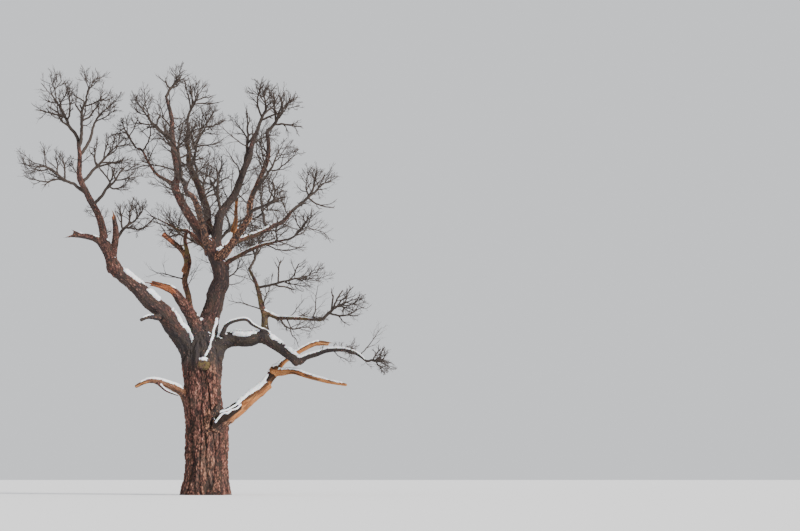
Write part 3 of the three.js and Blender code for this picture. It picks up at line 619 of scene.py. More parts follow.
def new_object(name, verts, polygons, material=None):
    """An object from vertices and a list of face arrays, all quads or all triangles in each."""
    polygons = [faces for faces in polygons if len(faces)]
    mesh = bpy.data.meshes.new(name)
    mesh.vertices.add(len(verts))
    mesh.vertices.foreach_set("co", np.ascontiguousarray(verts, np.float32).ravel())
    sizes = np.concatenate([np.full(len(faces), faces.shape[1]) for faces in polygons])
    loops = np.concatenate([faces.ravel() for faces in polygons])
    mesh.loops.add(len(loops))
    mesh.loops.foreach_set("vertex_index", loops.astype(np.int32))
    mesh.polygons.add(len(sizes))
    starts = np.concatenate([[0], np.cumsum(sizes)[:-1]])
    mesh.polygons.foreach_set("loop_start", starts.astype(np.int32))
    mesh.polygons.foreach_set("loop_total", sizes.astype(np.int32))
    mesh.polygons.foreach_set("use_smooth", np.ones(len(sizes), bool))
    mesh.update(calc_edges=True)
    made = bpy.data.objects.new(name, mesh)
    bpy.context.scene.collection.objects.link(made)
    if material:
        mesh.materials.append(material)
    return made


def ways_round(across, aside, sides):
    """The ways to the sides of a tube, from across towards aside."""
    turns = (2 * math.pi * np.arange(sides) / sides)[:, None]
    return across[:, None] * np.cos(turns) + aside[:, None] * np.sin(turns)


def wall(rings, sides):
    """The quads between the rings of a tube."""
    here = np.arange(sides)
    there = (here + 1) % sides
    stretches = [np.stack([here, there, there + sides, here + sides], 1) + k * sides
                 for k in range(rings - 1)]
    return np.concatenate(stretches) if stretches else np.zeros((0, 4), int)


def fan(first, sides, tip):
    """The triangles from a ring, whose first vertex is given, to a tip."""
    here = np.arange(sides)
    return np.stack([here + first, (here + 1) % sides + first, np.full(sides, tip)], 1)


def join_shapes(shapes):
    verts, quads, tris = [], [], []
    base = 0
    for shape in shapes:
        verts.append(shape[0])
        quads.append(shape[1] + base)
        tris.append(shape[2] + base)
        base += len(shape[0])
    return np.concatenate(verts), np.concatenate(quads), np.concatenate(tris)


# Twigs

def twig_tubes(line, radii, sides):
    """Tubes round many lines with the same number of points, each ending in a point."""
    count, rings = line.shape[:2]
    forward = directions(line)
    across = unit(np.cross(ASKEW, forward[:, 0]))
    verts = np.empty((count, (rings - 1) * sides + 1, 3))
    for k in range(rings - 1):
        across = unit(across - forward[:, k] * (across * forward[:, k]).sum(-1, keepdims=True))
        round_it = ways_round(across, np.cross(forward[:, k], across), sides)
        verts[:, k * sides:(k + 1) * sides] = line[:, k, None] + round_it * radii[:, k, None, None]
    verts[:, -1] = line[:, -1]
    quads = wall(rings - 1, sides)
    caps = fan((rings - 2) * sides, sides, (rings - 1) * sides)
    offset = np.arange(count)[:, None, None] * verts.shape[1]
    return verts.reshape(-1, 3), (quads + offset).reshape(-1, 4), (caps + offset).reshape(-1, 3)


def twig_shape(line, radii, reached, seeds, order):
    """Tubes of one order of twigs, their lines rounded between the pieces."""
    rule = ORDERS[order]
    parts = []
    for pieces in range(1, rule["pieces"] + 1):
        rows = np.flatnonzero(reached == pieces)
        if not len(rows):
            continue
        steps = rule["steps"] * pieces
        shares = np.linspace(0, 1, steps + 1)
        fine = smooth_line(line[rows, :pieces + 1], shares)
        mixing = np.stack([np.interp(shares * pieces, np.arange(pieces + 1), row)
                           for row in np.eye(pieces + 1)], 0)
        thick = radii[rows, :pieces + 1] @ mixing
        if order > 0:
            thick[:, 0] *= FOOT_FLARE
        if rule["steps"] > 1:
            wave = TWIG_WAVE * np.linalg.norm(line[rows, 1] - line[rows, 0], axis=-1)
            for k in range(1, steps):
                fine[:, k] += jitter(seeds[rows], WAVE_DRAW + k) * wave[:, None]
        parts.append(twig_tubes(fine, thick, rule["round"]))
    return parts


def twig_pieces(sides):
    """All twigs of the masses, grown order by order: the shapes of each piece of the mesh."""
    twigs = stems()
    shapes = {}
    obstacles = Obstacles()
    for axis in AXES.values():
        obstacles.add(axis.name, axis.points, axis.radii)
    for order, rule in enumerate(ORDERS):
        line, radii, reached = grow(twigs, order, obstacles)
        if order == 0:
            for mass, points, radius, pieces in zip(MASSES, line, radii, reached):
                obstacles.add(mass[0], points[:pieces + 1], radius[:pieces + 1])
        for side in ("left", "middle", "right"):
            rows = sides[twigs["mass"]] == side
            piece = side + ("_twigs" if order < FINE_ORDER else "_fine_twigs")
            shapes.setdefault(piece, []).extend(
                twig_shape(line[rows], radii[rows], reached[rows], twigs["seed"][rows], order))
        if rule["sides"]:
            twigs = side_twigs(twigs, line, radii, reached, order)
        for kind, shoot in enumerate(SHOOTS):
            if order + 1 == shoot["order"]:
                twigs = joined([twigs, shoots(kind)])
    return shapes


def make_twigs():
    """The twigs as joined meshes, by side of the crown and by thickness."""
    sides = np.select([CENTRE[:, 0] < LEFT_SIDE, CENTRE[:, 0] > RIGHT_SIDE], ["left", "right"], "middle")
    bark = plain_material("twig_bark", (0.055, 0.042, 0.036), 0.85)
    fine_bark = plain_material("fine_twig_bark", (0.075, 0.058, 0.052), 0.85)
    for piece, parts in twig_pieces(sides).items():
        verts, quads, tris = join_shapes(parts)
        fine = "fine" in piece
        made = new_object(piece, verts * MM, [quads, tris], fine_bark if fine else bark)
        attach(made, "root")
        if not fine:
            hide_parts(*[mass[0] for mass, side in zip(MASSES, sides) if piece.startswith(side)])


# Noise

def lattice(cell, seed):
    """A fraction for each cell of a grid."""
    mixed = (cell[:, 0] * 73856093) ^ (cell[:, 1] * 19349663) ^ (cell[:, 2] * 83492791)
    return fraction(mixed & 0xFFFFFFFF, seed)


def value_noise(points, seed):
    """Smooth noise from -1 to 1 that varies over about one unit."""
    low = np.floor(points).astype(np.int64)
    part = points - low
    part = part * part * (3 - 2 * part)
    total = np.zeros(len(points))
    for corner in np.ndindex(2, 2, 2):
        weight = np.prod(np.where(corner, part, 1 - part), axis=1)
        total += weight * lattice(low + corner, seed)
    return 2 * total - 1


def plates(points, seed):
    """Noise of plates: how far each point lies from the nearest furrow between two plates."""
    low = np.floor(points).astype(np.int64)
    nearest = np.full(len(points), 9.0)
    second = np.full(len(points), 9.0)
    for offset in np.ndindex(3, 3, 3):
        cell = low + np.array(offset) - 1
        middle = cell + np.stack([lattice(cell, seed + k) for k in range(3)], 1)
        gap = ((points - middle) ** 2).sum(1)
        second = np.minimum(second, np.maximum(nearest, gap))
        nearest = np.minimum(nearest, gap)
    return np.sqrt(second) - np.sqrt(nearest)


def smooth_step(low, high, value):
    share = np.clip((value - low) / (high - low), 0, 1)
    return share * share * (3 - 2 * share)


def closeness(points, middle, size):
    """1 in the middle of a place, and less the further a point lies from it."""
    return np.exp(-(((points - middle) / size) ** 2).sum(1))


def streaks(surface, width, length, seed, shift=0):
    """Noise in streaks along the limbs."""
    return value_noise(surface.local / (width, width, length) + shift, seed)


# Surface of the trunk and limbs

def closed_tube(points, across, aside, reach):
    """A tube with a closed end at each side. reach[ring, side] is its radius."""
    rings, sides = reach.shape
    verts = (points[:, None] + ways_round(aside, across, sides) * reach[..., None]).reshape(-1, 3)
    bottom = fan(0, sides, len(verts))[:, [1, 0, 2]]
    top = fan((rings - 1) * sides, sides, len(verts) + 1)
    return np.vstack([verts, points[[0, -1]]]), wall(rings, sides), np.concatenate([bottom, top])


def trunk_shape():
    axis = AXES["trunk"].finer(TRUNK_STEPS)
    angle = 2 * math.pi * np.arange(TRUNK_AROUND) / TRUNK_AROUND
    flutes = (np.cos(BUTTRESSES * angle + BUTTRESS_TURN)
              + FINE_FLUTE_SHARE * np.cos(FINE_FLUTES * angle + FINE_FLUTE_TURN))
    buttress = np.maximum(0, BUTTRESS_LEAST + BUTTRESS_SHARE * flutes)
    flare = FLARE * np.exp(-axis.points[:, 2:] / FLARE_HEIGHT) * buttress
    reach = axis.radii[:, None] * (1 + FLUTE * flutes) + flare
    return closed_tube(axis.points, axis.across, -axis.aside, reach)


def limb_shape(name):
    fine = FINE_AXES[name]
    reach = np.repeat(fine.radii[:, None], LIMB_AROUND, 1)
    return closed_tube(fine.points, fine.across, fine.aside, reach)


def solid_union():
    """The trunk and limbs as one closed mesh of even quads: vertices, quads."""
    verts, quads, tris = join_shapes([trunk_shape()] + [limb_shape(name) for name in AXIS_NAMES[1:]])
    rough = new_object("rough", verts * MM, [quads, tris])
    remesh = rough.modifiers.new("remesh", "REMESH")
    remesh.mode = "VOXEL"
    remesh.voxel_size = VOXEL
    evaluated = rough.evaluated_get(bpy.context.evaluated_depsgraph_get())
    fused = evaluated.to_mesh()
    verts = np.empty(3 * len(fused.vertices), np.float32)
    fused.vertices.foreach_get("co", verts)
    loops = np.empty(len(fused.loops), np.int32)
    fused.loops.foreach_get("vertex_index", loops)
    evaluated.to_mesh_clear()
    mesh = rough.data
    bpy.data.objects.remove(rough)
    bpy.data.meshes.remove(mesh)
    return verts.reshape(-1, 3).astype(float) / MM, loops.reshape(-1, 4)


def sides_of(quads):
    return np.concatenate([quads[:, [k, (k + 1) % 4]] for k in range(4)])


def edges_of(quads):
    return np.unique(np.sort(sides_of(quads), 1), axis=0)


def gathered(rows, values, count):
    """The sum of the values that go to each of so many rows."""
    return np.stack([np.bincount(rows, column, minlength=count) for column in values.T], 1)


def relaxed(verts, edges, times, share):
    """Each vertex moved a share of the way to the mean of its neighbours, a few times."""
    degree = np.bincount(edges.ravel(), minlength=len(verts))[:, None]
    for _ in range(times):
        total = (gathered(edges[:, 0], verts[edges[:, 1]], len(verts))
                 + gathered(edges[:, 1], verts[edges[:, 0]], len(verts)))
        verts = verts + share * (total / degree - verts)
    return verts


def normals_of(verts, quads):
    across = np.cross(verts[quads[:, 2]] - verts[quads[:, 0]], verts[quads[:, 3]] - verts[quads[:, 1]])
    return unit(sum(gathered(quads[:, k], across, len(verts)) for k in range(4)))


class Surface:
    """The bark's vertices, and for each the limb it lies on and its place along and round it."""

    def __init__(self, verts, quads):
        self.quads = quads
        self.edges = edges_of(quads)
        self.count = len(verts)
        self.verts = relaxed(verts, self.edges, times=4, share=0.6)
        self.normals = normals_of(self.verts, quads)
        self.locate()
        self.fillet()
        self.smooth = self.verts  # before the relief is carved

    def locate(self):
        """Measures each vertex against the limbs that it lies near."""
        self.depth = np.full((self.count, len(AXIS_NAMES)), FAR)
        self.limb = np.zeros(self.count, int)
        self.radius = np.ones(self.count)
        self.share = np.zeros(self.count)
        self.local = np.zeros((self.count, 3))
        self.top = np.zeros(self.count)
        for index, name in enumerate(AXIS_NAMES):
            axis = FINE_AXES[name]
            margin = axis.radii.max() * NEARBY_SHARE + NEARBY
            low, high = axis.points.min(0) - margin, axis.points.max(0) + margin
            rows = np.flatnonzero(((self.verts > low) & (self.verts < high)).all(1))
            for some in np.array_split(rows, len(rows) // CHUNK + 1):
                self.measure(some, index, axis)
        self.shift = LIMB_SHIFT * self.limb[:, None]

    def measure(self, some, index, axis):
        """How deep some vertices lie in a limb, and their place on it where no other is nearer."""
        here = self.verts[some]
        way = np.diff(axis.points, axis=0)
        t = ((here @ way.T) - (axis.points[:-1] * way).sum(1)) / (way * way).sum(1)
        t = np.clip(t, 0, 1)
        gap = np.empty_like(t)
        for k in range(len(way)):
            gap[:, k] = np.linalg.norm(here - axis.points[k] - t[:, k:k + 1] * way[k], axis=1)
        k = gap.argmin(1)
        rows = np.arange(len(some))
        part = t[rows, k]
        radius = axis.radii[k] + part * (axis.radii[k + 1] - axis.radii[k])
        gap = gap[rows, k] - radius
        best = gap < self.depth[some].min(1)
        self.depth[some, index] = gap
        some, here, k, part = some[best], here[best], k[best], part[best]
        run = axis.run[k] + part * (axis.run[k + 1] - axis.run[k])
        off = here - axis.points[k] - part[:, None] * way[k]
        over = WEATHER - axis.forward[k] * (axis.forward[k] @ WEATHER)[:, None]
        self.limb[some] = index
        self.radius[some] = radius[best]
        self.share[some] = run / axis.run[-1]
        self.local[some] = np.stack([(off * axis.across[k]).sum(1), (off * axis.aside[k]).sum(1), run], 1)
        self.top[some] = (self.normals[some] * unit(over + 1e-6)).sum(1)

    def fillet(self):
        """Rounds the crotches where two limbs meet."""
        soft = FILLET * np.minimum(self.radius, FILLET_MOST)[:, None]
        excess = self.depth - self.depth.min(1, keepdims=True)
        lift = soft[:, 0] * np.log(np.exp(-excess / soft).sum(1))
        self.verts = relaxed(self.verts + self.normals * lift[:, None], self.edges, times=2, share=0.5)
        self.normals = normals_of(self.verts, self.quads)

    def of(self, name):
        """1 on a limb and 0 elsewhere."""
        return (self.limb == AXIS_NAMES.index(name)).astype(float)

    def per_limb(self, values, default):
        """A number for each vertex from a table of limbs."""
        return np.array([values.get(name, default) for name in AXIS_NAMES], float)[self.limb]


# Relief

def bark_relief(surface):
    """The bark's plates, from 0 in the furrows to 1 on top, and how their grain bends."""
    foot = np.array([FINE_AXES[name].radii[0] for name in AXIS_NAMES])[surface.limb]
    plate = PLATE_LEAST + PLATE_SHARE * foot
    place = surface.local / np.stack([plate, plate, plate * PLATE_STRETCH], 1) + surface.shift
    bend = np.stack([value_noise(place * 0.6 + 11, seed=5), value_noise(place * 0.6 + 23, seed=6)], 1)
    place[:, :2] += PLATE_BEND * bend
    broad = smooth_step(0.02, 0.5, plates(place * BROAD_PLATES + 3, seed=30))
    small = smooth_step(0.02, 0.45, plates(place, seed=40))
    return BROAD_DEPTH * broad + SMALL_DEPTH * small, bend


def torn_ends(surface):
    """1 where bare wood shows at the ends of torn limbs."""
    ragged = 0.07 * streaks(surface, width=60, length=400, seed=16)
    ends = [surface.of(name) * smooth_step(start, start + 0.05, surface.share + ragged)
            for name, start in TORN.items()]
    return np.max(ends, axis=0)


def bare_wood(surface):
    """1 where the wood has lost its bark."""
    on_limb = surface.of("dead_limb")
    strips = 0.35 * streaks(surface, width=160, length=900, seed=18, shift=surface.shift)
    barkless = surface.per_limb(BARKLESS, 0) * smooth_step(-0.15, 0.1, strips + 0.4 * surface.share - 0.1)
    bare = np.max([surface.per_limb(DEAD_WOOD, 0), barkless, torn_ends(surface)], axis=0)
    bare = bare * (1 - on_limb * smooth_step(*FOOT_BARK, surface.share + 0.3 * strips))
    return bare * smooth_step(0.9, 0.65, on_limb * surface.top * 0.4 + 0.5 + strips)


def rotten(surface, bare, hollow):
    """1 where wood is rotten: on the dead limb's top and end, on bare wood's top and in the hollow."""
    on_limb = surface.of("dead_limb")
    ragged = 0.4 * streaks(surface, width=110, length=480, seed=17, shift=4)
    narrower = ROT_NARROWS * np.maximum(0, surface.share - ROT_FULL)
    return np.max([on_limb * smooth_step(-0.1, 0.15, surface.top + ragged - narrower),
                   0.8 * bare * smooth_step(0.45, 0.8, surface.top + ragged),
                   smooth_step(0.3, 0.6, hollow + 0.5 * ragged),
                   0.85 * on_limb * smooth_step(*ROT_AGAIN, surface.share + 0.1 * ragged)], axis=0)


def folded(surface):
    """1 in the long folds of the trunk and the stout boughs."""
    stout = smooth_step(FOLD_LEAST, 2 * FOLD_LEAST, surface.radius)
    bent = surface.local + FOLD_BEND * value_noise(surface.local / 700, seed=31)[:, None]
    return stout * smooth_step(0.22, 0, plates(bent / FOLD_SIZE + 7, seed=33))


def channel(surface):
    """How deep the rotten groove along the top of the dead limb goes."""
    on_limb = surface.of("dead_limb") * smooth_step(0.12, 0.25, surface.share)
    ragged = 0.25 * streaks(surface, width=110, length=300, seed=15)
    groove = smooth_step(0.45, 0.85, surface.top + ragged)
    return on_limb * groove * CHANNEL * surface.radius


def lumps(surface):
    """How far the limbs' lumps and knots stand out."""
    size = surface.radius[:, None]
    broad = value_noise(surface.verts / (2.2 * size + 60) + 5, seed=9)
    small = value_noise(surface.verts / (0.9 * size + 40) + 9, seed=10)
    knots = np.clip(value_noise(surface.verts / KNOT_SIZE, seed=12) - 0.45, 0, 1) * 2
    return LUMPS * surface.radius * (broad + 0.5 * small) + KNOTS * surface.radius * knots


def carve(surface):
    """Moves the vertices along their normals, and keeps how high, bare and rotten each is."""
    relief, bend = bark_relief(surface)
    bare = bare_wood(surface)
    place = surface.local / FIBRE_SIZE + surface.shift + 0.3 * bend[:, [0, 0, 1]]
    fibres = smooth_step(0.2, 0.75, 0.5 + 0.5 * value_noise(place, seed=8))
    relief = relief * (1 - bare) + fibres * bare
    bark_depth = np.minimum(RELIEF_MOST, RELIEF_SHARE * surface.radius + RELIEF_LEAST)
    depth = bark_depth * (1 - bare) + (WOOD_SHARE * surface.radius + WOOD_LEAST) * bare
    folds = folded(surface)
    middle, size, hollow_depth = HOLLOW
    hollow = closeness(surface.verts, middle, size) * (1 - surface.of("dead_limb"))
    move = lumps(surface) + (relief - RELIEF_LEVEL) * depth
    move -= channel(surface) + FOLD_DEPTH * surface.radius * folds + hollow_depth * hollow
    surface.verts = surface.smooth + surface.normals * move[:, None]
    low = surface.smooth[:, 2] < GROUND
    surface.verts[low, 2] = surface.smooth[low, 2]
    surface.relief = relief * (1 - 0.75 * folds)
    surface.bare = bare
    surface.rot = rotten(surface, bare, hollow)


def worn(surface):
    """1 where the trunk's bark is worn pale, in patches taller than they are wide."""
    return np.max([most * closeness(surface.verts, middle, size) for middle, size, most in WORN], axis=0)


# Bark

# Its pieces, and how the names of their limbs start.
BARK_PIECES = {
    "trunk_bark": ("trunk", "fork_knot", "socket"),
    "left_boughs_bark": ("left", "torn_bough", "torn_upper", "torn_middle", "torn_lower", "crooked", "stub",
                         "snag", "spur"),
    "right_boughs_bark": ("low_right", "dead", "rear"),
    "upper_boughs_bark": ("centre", "right", "thin", "torn_spike", "spike", "west"),
}


def bark_fields(surface):
    """What the bark's material reads at each vertex."""
    ends = smooth_step(0.45, 1, surface.share) * smooth_step(*THIN_ENDS, surface.radius)
    height = surface.verts[:, 2]
    # Painted shade in the fork, where the boughs part from the trunk.
    fork = FORK_PAINTED_SHADE * smooth_step(*FORK_LOW, height) * smooth_step(*FORK_HIGH, height)
    # Painted shade: the undersides are darker the further down they face.
    under = UNDERSIDE_PAINTED_SHADE * smooth_step(0, -0.6, surface.normals[:, 2])
    return {
        "grain": surface.local * MM + GRAIN_SHIFT * surface.limb[:, None], "relief": surface.relief,
        "bare": surface.bare, "rot": surface.rot, "moss": surface.per_limb(MOSS, 0.1),
        "pale": np.maximum(surface.per_limb(PALE, 0), worn(surface)) * (1 - ends),
        # The limbs' own darkness and darker thin ends, with painted shade in the fork and under the limbs.
        "dark": np.max([surface.per_limb(DARK, 0.3), ends, fork, under], axis=0),
        "red": surface.per_limb(RED_WOOD, 0),
    }


def add_field(mesh, name, values):
    kind, key = ("FLOAT", "value") if values.ndim == 1 else ("FLOAT_VECTOR", "vector")
    field = mesh.attributes.new(name, kind, "POINT")
    field.data.foreach_set(key, values.astype(np.float32).ravel())


def make_bark():
    """The bark in pieces that share its normals, so that no seam shows between them."""
    surface = Surface(*solid_union())
    carve(surface)
    normals = normals_of(surface.verts, surface.quads)
    fields = bark_fields(surface)
    material = bark_material()
    for piece, starts in BARK_PIECES.items():
        limbs = [name for name in AXIS_NAMES if name.startswith(starts)]
        mine = np.isin(surface.limb, [AXIS_NAMES.index(name) for name in limbs])
        used, quads = np.unique(surface.quads[mine[surface.quads[:, 0]]], return_inverse=True)
        made = new_object(piece, surface.verts[used] * MM, [quads.reshape(-1, 4)], material)
        made.data.normals_split_custom_set_from_vertices(normals[used])
        for name, values in fields.items():
            add_field(made.data, name, values[used])
        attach(made, "root")
        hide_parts(*[name for name in limbs if name in NODES])
    return surface


# Snow

# Limb, from where to where along it, and how much.
SNOW_ON = [
    ("left_bough", 0.06, 0.3, 1.35), ("left_bough", 0.28, 0.47, 0.85), ("left_bough", 0.55, 0.73, 1.15),
    ("left_bough", 0.75, 0.96, 1.0), ("low_right_bough", 0.3, 0.56, 1.15),
    ("low_right_bough", 0.6, 0.82, 0.8), ("low_right_bough", 0.82, 1.0, 1.1),
    ("dead_limb", 0.45, 1.0, 0.95), ("dead_limb_upper_prong", 0.0, 0.85, 0.75),
    ("dead_limb_lower_prong", 0.0, 0.95, 0.85), ("low_right_tip", 0.0, 1.0, 0.95),
    ("low_right_side_limb", 0.1, 0.9, 0.95), ("left_stub", 0.25, 0.95, 0.9),
    ("right_level_limb", 0.1, 0.75, 0.6), ("right_low_limb", 0.1, 0.9, 0.7),
    ("thin_left_limb", 0.3, 1.0, 0.45), ("dead_branch", 0.1, 1.0, 0.95), ("left_bough_stub", 0.1, 0.9, 0.5),
    ("stub_branch", 0.1, 1.0, 0.9), ("left_spur", 0.2, 0.9, 0.35), ("left_leader", 0.0, 0.3, 0.35),
    ("torn_bough", 0.0, 0.5, 0.3),
]
# Small heaps in the crotches and on the knot: middle and size.
SNOW_HEAPS = [
    ((-80, -900, 6190), (190, 260, 80)), ((-300, -150, 8070), (65, 330, 75)),
    ((370, -300, 7900), (60, 260, 150)), ((520, -100, 11350), (330, 330, 200)),
    ((-270, -200, 12150), (220, 300, 110)), ((760, -880, 4100), (60, 130, 150)),
]
# Threads of snow on the front of a limb: the limbs, and the places, x and z, that the thread passes.
SNOW_THREADS = [
    (("dead_limb",),
     [(360, 3430), (500, 3640), (670, 3770), (920, 3850), (1170, 3990), (1380, 4100), (1590, 4240)]),
    (("dead_limb",),
     [(520, 3290), (640, 3470), (810, 3680), (1060, 3730), (1200, 3850), (1450, 3920), (1620, 4100)]),
    (("trunk", "centre_bough", "low_right_bough"),
     [(400, 8100), (380, 7850), (310, 7560), (270, 7280), (200, 7000), (190, 6780), (60, 6500),
      (-20, 6330)]),
]
THREAD = 42  # half the width of a thread
SNOW_RUNS_OUT = 0.06  # over this share of its limb, snow gets less at both ends
SNOWY_CROTCHES = 5200  # lower than this, no snow lies in the crotches
CROTCH_LEAST = 120  # nor on limbs with a smaller radius
CROTCH_GAP = (260, 60)  # how near the second limb is where snow begins to lie, and where it lies in full
SNOW_EDGE = 1.22  # how far to the top snow's edge lies where there is none, and how much lower it gets
SNOW_LOWERS_EDGE = 0.7
SNOW_SLOPE = 0.45  # how far in from its edge snow is at its full depth
SNOW_LEAST = 28  # depth of snow on the thinnest limbs
SNOW_SHARE = 0.34  # and with it this share of the limb's radius
SNOW_MOST = 165
SNOW_SINK = 45  # how far its edges and underside lie in the bark


def threads(surface):
    """How far each point rises in a thread of snow."""
    rise = np.full(surface.count, -1.0)
    for limbs, route in SNOW_THREADS:
        on_limbs = surface.per_limb({limb: 1 for limb in limbs}, 0) > 0
        rows = np.flatnonzero(on_limbs & (surface.normals[:, 1] < 0.2))
        line = smooth_line(np.array(route, float), np.linspace(0, 1, 80))
        gap = np.linalg.norm(surface.smooth[rows][:, None, ::2] - line, axis=2).min(1)
        rise[rows] = np.maximum(rise[rows], 0.35 * (1 - gap / THREAD))
    return rise


def snow_amount(surface, ragged):
    """How much snow each point holds by its limb, and which points lie in a crotch."""
    along = surface.share + 0.05 * ragged
    amount = np.zeros(surface.count)
    for name, start, end, most in SNOW_ON:
        span = (smooth_step(start, start + SNOW_RUNS_OUT, along)
                * smooth_step(end, end - SNOW_RUNS_OUT, along))
        amount = np.maximum(amount, surface.of(name) * span * most)
    level = surface.normals[:, 2]
    second = np.partition(surface.depth, 1, axis=1)[:, 1]
    crotch = smooth_step(*CROTCH_GAP, second) * smooth_step(0.35, 0.7, level)
    crotch = crotch * (surface.radius > CROTCH_LEAST) * (surface.smooth[:, 2] > SNOWY_CROTCHES)
    return np.maximum(amount * smooth_step(0.25, 0.55, level), 0.8 * crotch), crotch


def snow_rise(surface, patches, ragged):
    """From 1 where snow has its full depth to 0 at its edge, and lower outside it."""
    amount, crotch = snow_amount(surface, ragged)
    level = surface.normals[:, 2]
    reach = surface.top * (1 - crotch) + level * crotch
    frayed = value_noise(surface.smooth / 65, seed=23)
    edge = SNOW_EDGE - SNOW_LOWERS_EDGE * amount + 0.26 * patches + 0.26 * ragged + 0.16 * frayed
    rise = np.where(amount > 0.02, (reach - edge) / SNOW_SLOPE, -1)
    rise = np.maximum(rise, threads(surface))
    for middle, size in SNOW_HEAPS:
        heap = closeness(surface.smooth, middle, size) + 0.22 * ragged
        rise = np.maximum(rise, 0.9 * (heap - 0.45) - 2 * (level < -0.1))
    return rise


def snow_shell(surface, quads, lift):
    """A closed shell over some of the bark's quads, its top lifted off the bark: vertices, quads."""
    used, quads = np.unique(quads, return_inverse=True)
    quads = quads.reshape(-1, 4)
    ground = surface.verts[used]
    normals = surface.normals[used]
    top = ground + unit(normals + 0.8 * UP) * lift[used][:, None]
    top = relaxed(top, edges_of(quads), times=3, share=0.5)
    under = np.minimum(surface.smooth[used], ground) - normals * SNOW_SINK
    sides = sides_of(quads).astype(np.int64)
    rim = sides[~np.isin(sides @ (len(used), 1), sides @ (1, len(used)))]
    walls = np.stack([rim[:, 1], rim[:, 0], rim[:, 0] + len(used), rim[:, 1] + len(used)], 1)
    return np.vstack([top, under]), np.concatenate([quads, quads[:, ::-1] + len(used), walls])


def make_snow(surface):
    """Snow on the upper sides of the flatter limbs and in the crotches, as one closed mesh."""
    patches = value_noise(surface.smooth / 330, seed=20)
    ragged = value_noise(surface.smooth / 130, seed=21)
    rise = snow_rise(surface, patches, ragged)
    depth = np.minimum(SNOW_LEAST + SNOW_SHARE * surface.radius, SNOW_MOST)
    depth = depth * (0.8 + 0.25 * patches + 0.2 * ragged)
    lift = np.where(rise > 0, depth * np.sqrt(np.clip(rise, 0, 1)), SNOW_SINK * np.clip(rise * 2, -1, 0))
    keep = (rise[surface.quads] > -0.5).all(1) & (rise[surface.quads] > 0).any(1)
    verts, quads = snow_shell(surface, surface.quads[keep], lift)
    made = new_object("snow", verts * MM, [quads], snow_material())
    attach(made, "root")
    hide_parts("snow_on_left_bough", "snow_on_low_right_bough", "snow_on_dead_limb")


# Materials

FURROW_TONE_AND_SHADE = (0.020, 0.013, 0.012, 1)
REDDISH = (0.17, 0.066, 0.052, 1)
RIDGE = (0.38, 0.18, 0.14, 1)
FLAKE = (0.62, 0.40, 0.31, 1)
GREY_BARK = (0.14, 0.105, 0.092, 1)
DARK_BARK = (0.034, 0.028, 0.029, 1)
TAN = (0.50, 0.26, 0.15, 1)
BARE_PALE = (0.52, 0.28, 0.13, 1)
BARE_ORANGE = (0.36, 0.135, 0.045, 1)
TORN_DARK = (0.16, 0.035, 0.016, 1)
TORN_LIGHT = (0.52, 0.20, 0.11, 1)
WORN_BROWN = (0.15, 0.055, 0.025, 1)
ROTTEN = (0.022, 0.014, 0.011, 1)
MOSSY = (0.115, 0.085, 0.034, 1)
SNOW_SHADE = (0.78, 0.82, 0.88, 1)
SNOW_WHITE = (0.90, 0.92, 0.94, 1)


class Graph:
    """A material's nodes. An input is a value, or another node's output."""

    def __init__(self, name, roughness, specular=0.2):
        self.material = bpy.data.materials.new(name)
        self.material.use_nodes = True
        self.tree = self.material.node_tree
        self.shader = self.tree.nodes["Principled BSDF"]
        self.shader.inputs["Roughness"].default_value = roughness
        self.shader.inputs["Specular IOR Level"].default_value = specular

    def put(self, socket, value):
        if isinstance(value, bpy.types.NodeSocket):
            self.tree.links.new(value, socket)
        else:
            socket.default_value = value

    def add(self, kind, inputs=(), output=0, **settings):
        made = self.tree.nodes.new(kind)
        for key, value in settings.items():
            setattr(made, key, value)
        for key, value in dict(inputs).items():
            self.put(made.inputs[key], value)
        return made.outputs[output]

    def field(self, name, output="Fac"):
        return self.add("ShaderNodeAttribute", attribute_name=name, output=output)

    def scaled(self, place, across, along):
        """A place in patches, so many to a metre across the grain and along it."""
        scale = (across, across, along)
        return self.add("ShaderNodeVectorMath", {0: place, 1: scale}, operation="MULTIPLY")

    def noise(self, place, across, along, detail):
        return self.add("ShaderNodeTexNoise", {"Vector": self.scaled(place, across, along), "Scale": 1,
                                               "Detail": detail, "Roughness": 0.6})

    def cracks(self, place, across, along):
        return self.add("ShaderNodeTexVoronoi", {"Vector": self.scaled(place, across, along), "Scale": 1},
                        feature="DISTANCE_TO_EDGE")

    def math(self, operation, a, b):
        return self.add("ShaderNodeMath", {0: a, 1: b}, operation=operation, use_clamp=True)

    def times(self, a, b):
        return self.math("MULTIPLY", a, b)

    def span(self, value, low, high):
        """0 below low, 1 above high and smooth between them."""
        return self.add("ShaderNodeMapRange", {"Value": value, "From Min": low, "From Max": high},
                        interpolation_type="SMOOTHSTEP")

    def blend(self, share, a, b):
        return self.add("ShaderNodeMix", {0: share, 6: a, 7: b}, output=2, data_type="RGBA")

    def finish(self, colour, height, distance, strength=1.0):
        bump = self.add("ShaderNodeBump", {"Height": height, "Distance": distance, "Strength": strength})
        self.put(self.shader.inputs["Base Color"], colour)
        self.put(self.shader.inputs["Normal"], bump)
        return self.material


def plain_material(name, colour, roughness):
    g = Graph(name, roughness, specular=0.25)
    g.put(g.shader.inputs["Base Color"], (*colour, 1))
    return g.material


def bark_height(g, grain):
    """The relief of the mesh with finer cracks and crumbs in it."""
    fine = g.noise(grain, 22, 8, 6)
    cracks = g.span(g.cracks(grain, 17, 6), 0, 0.3)
    height = g.math("ADD", g.times(g.field("relief"), 0.55), g.times(fine, 0.5))
    return g.times(height, g.math("ADD", g.times(cracks, 0.45), 0.55))


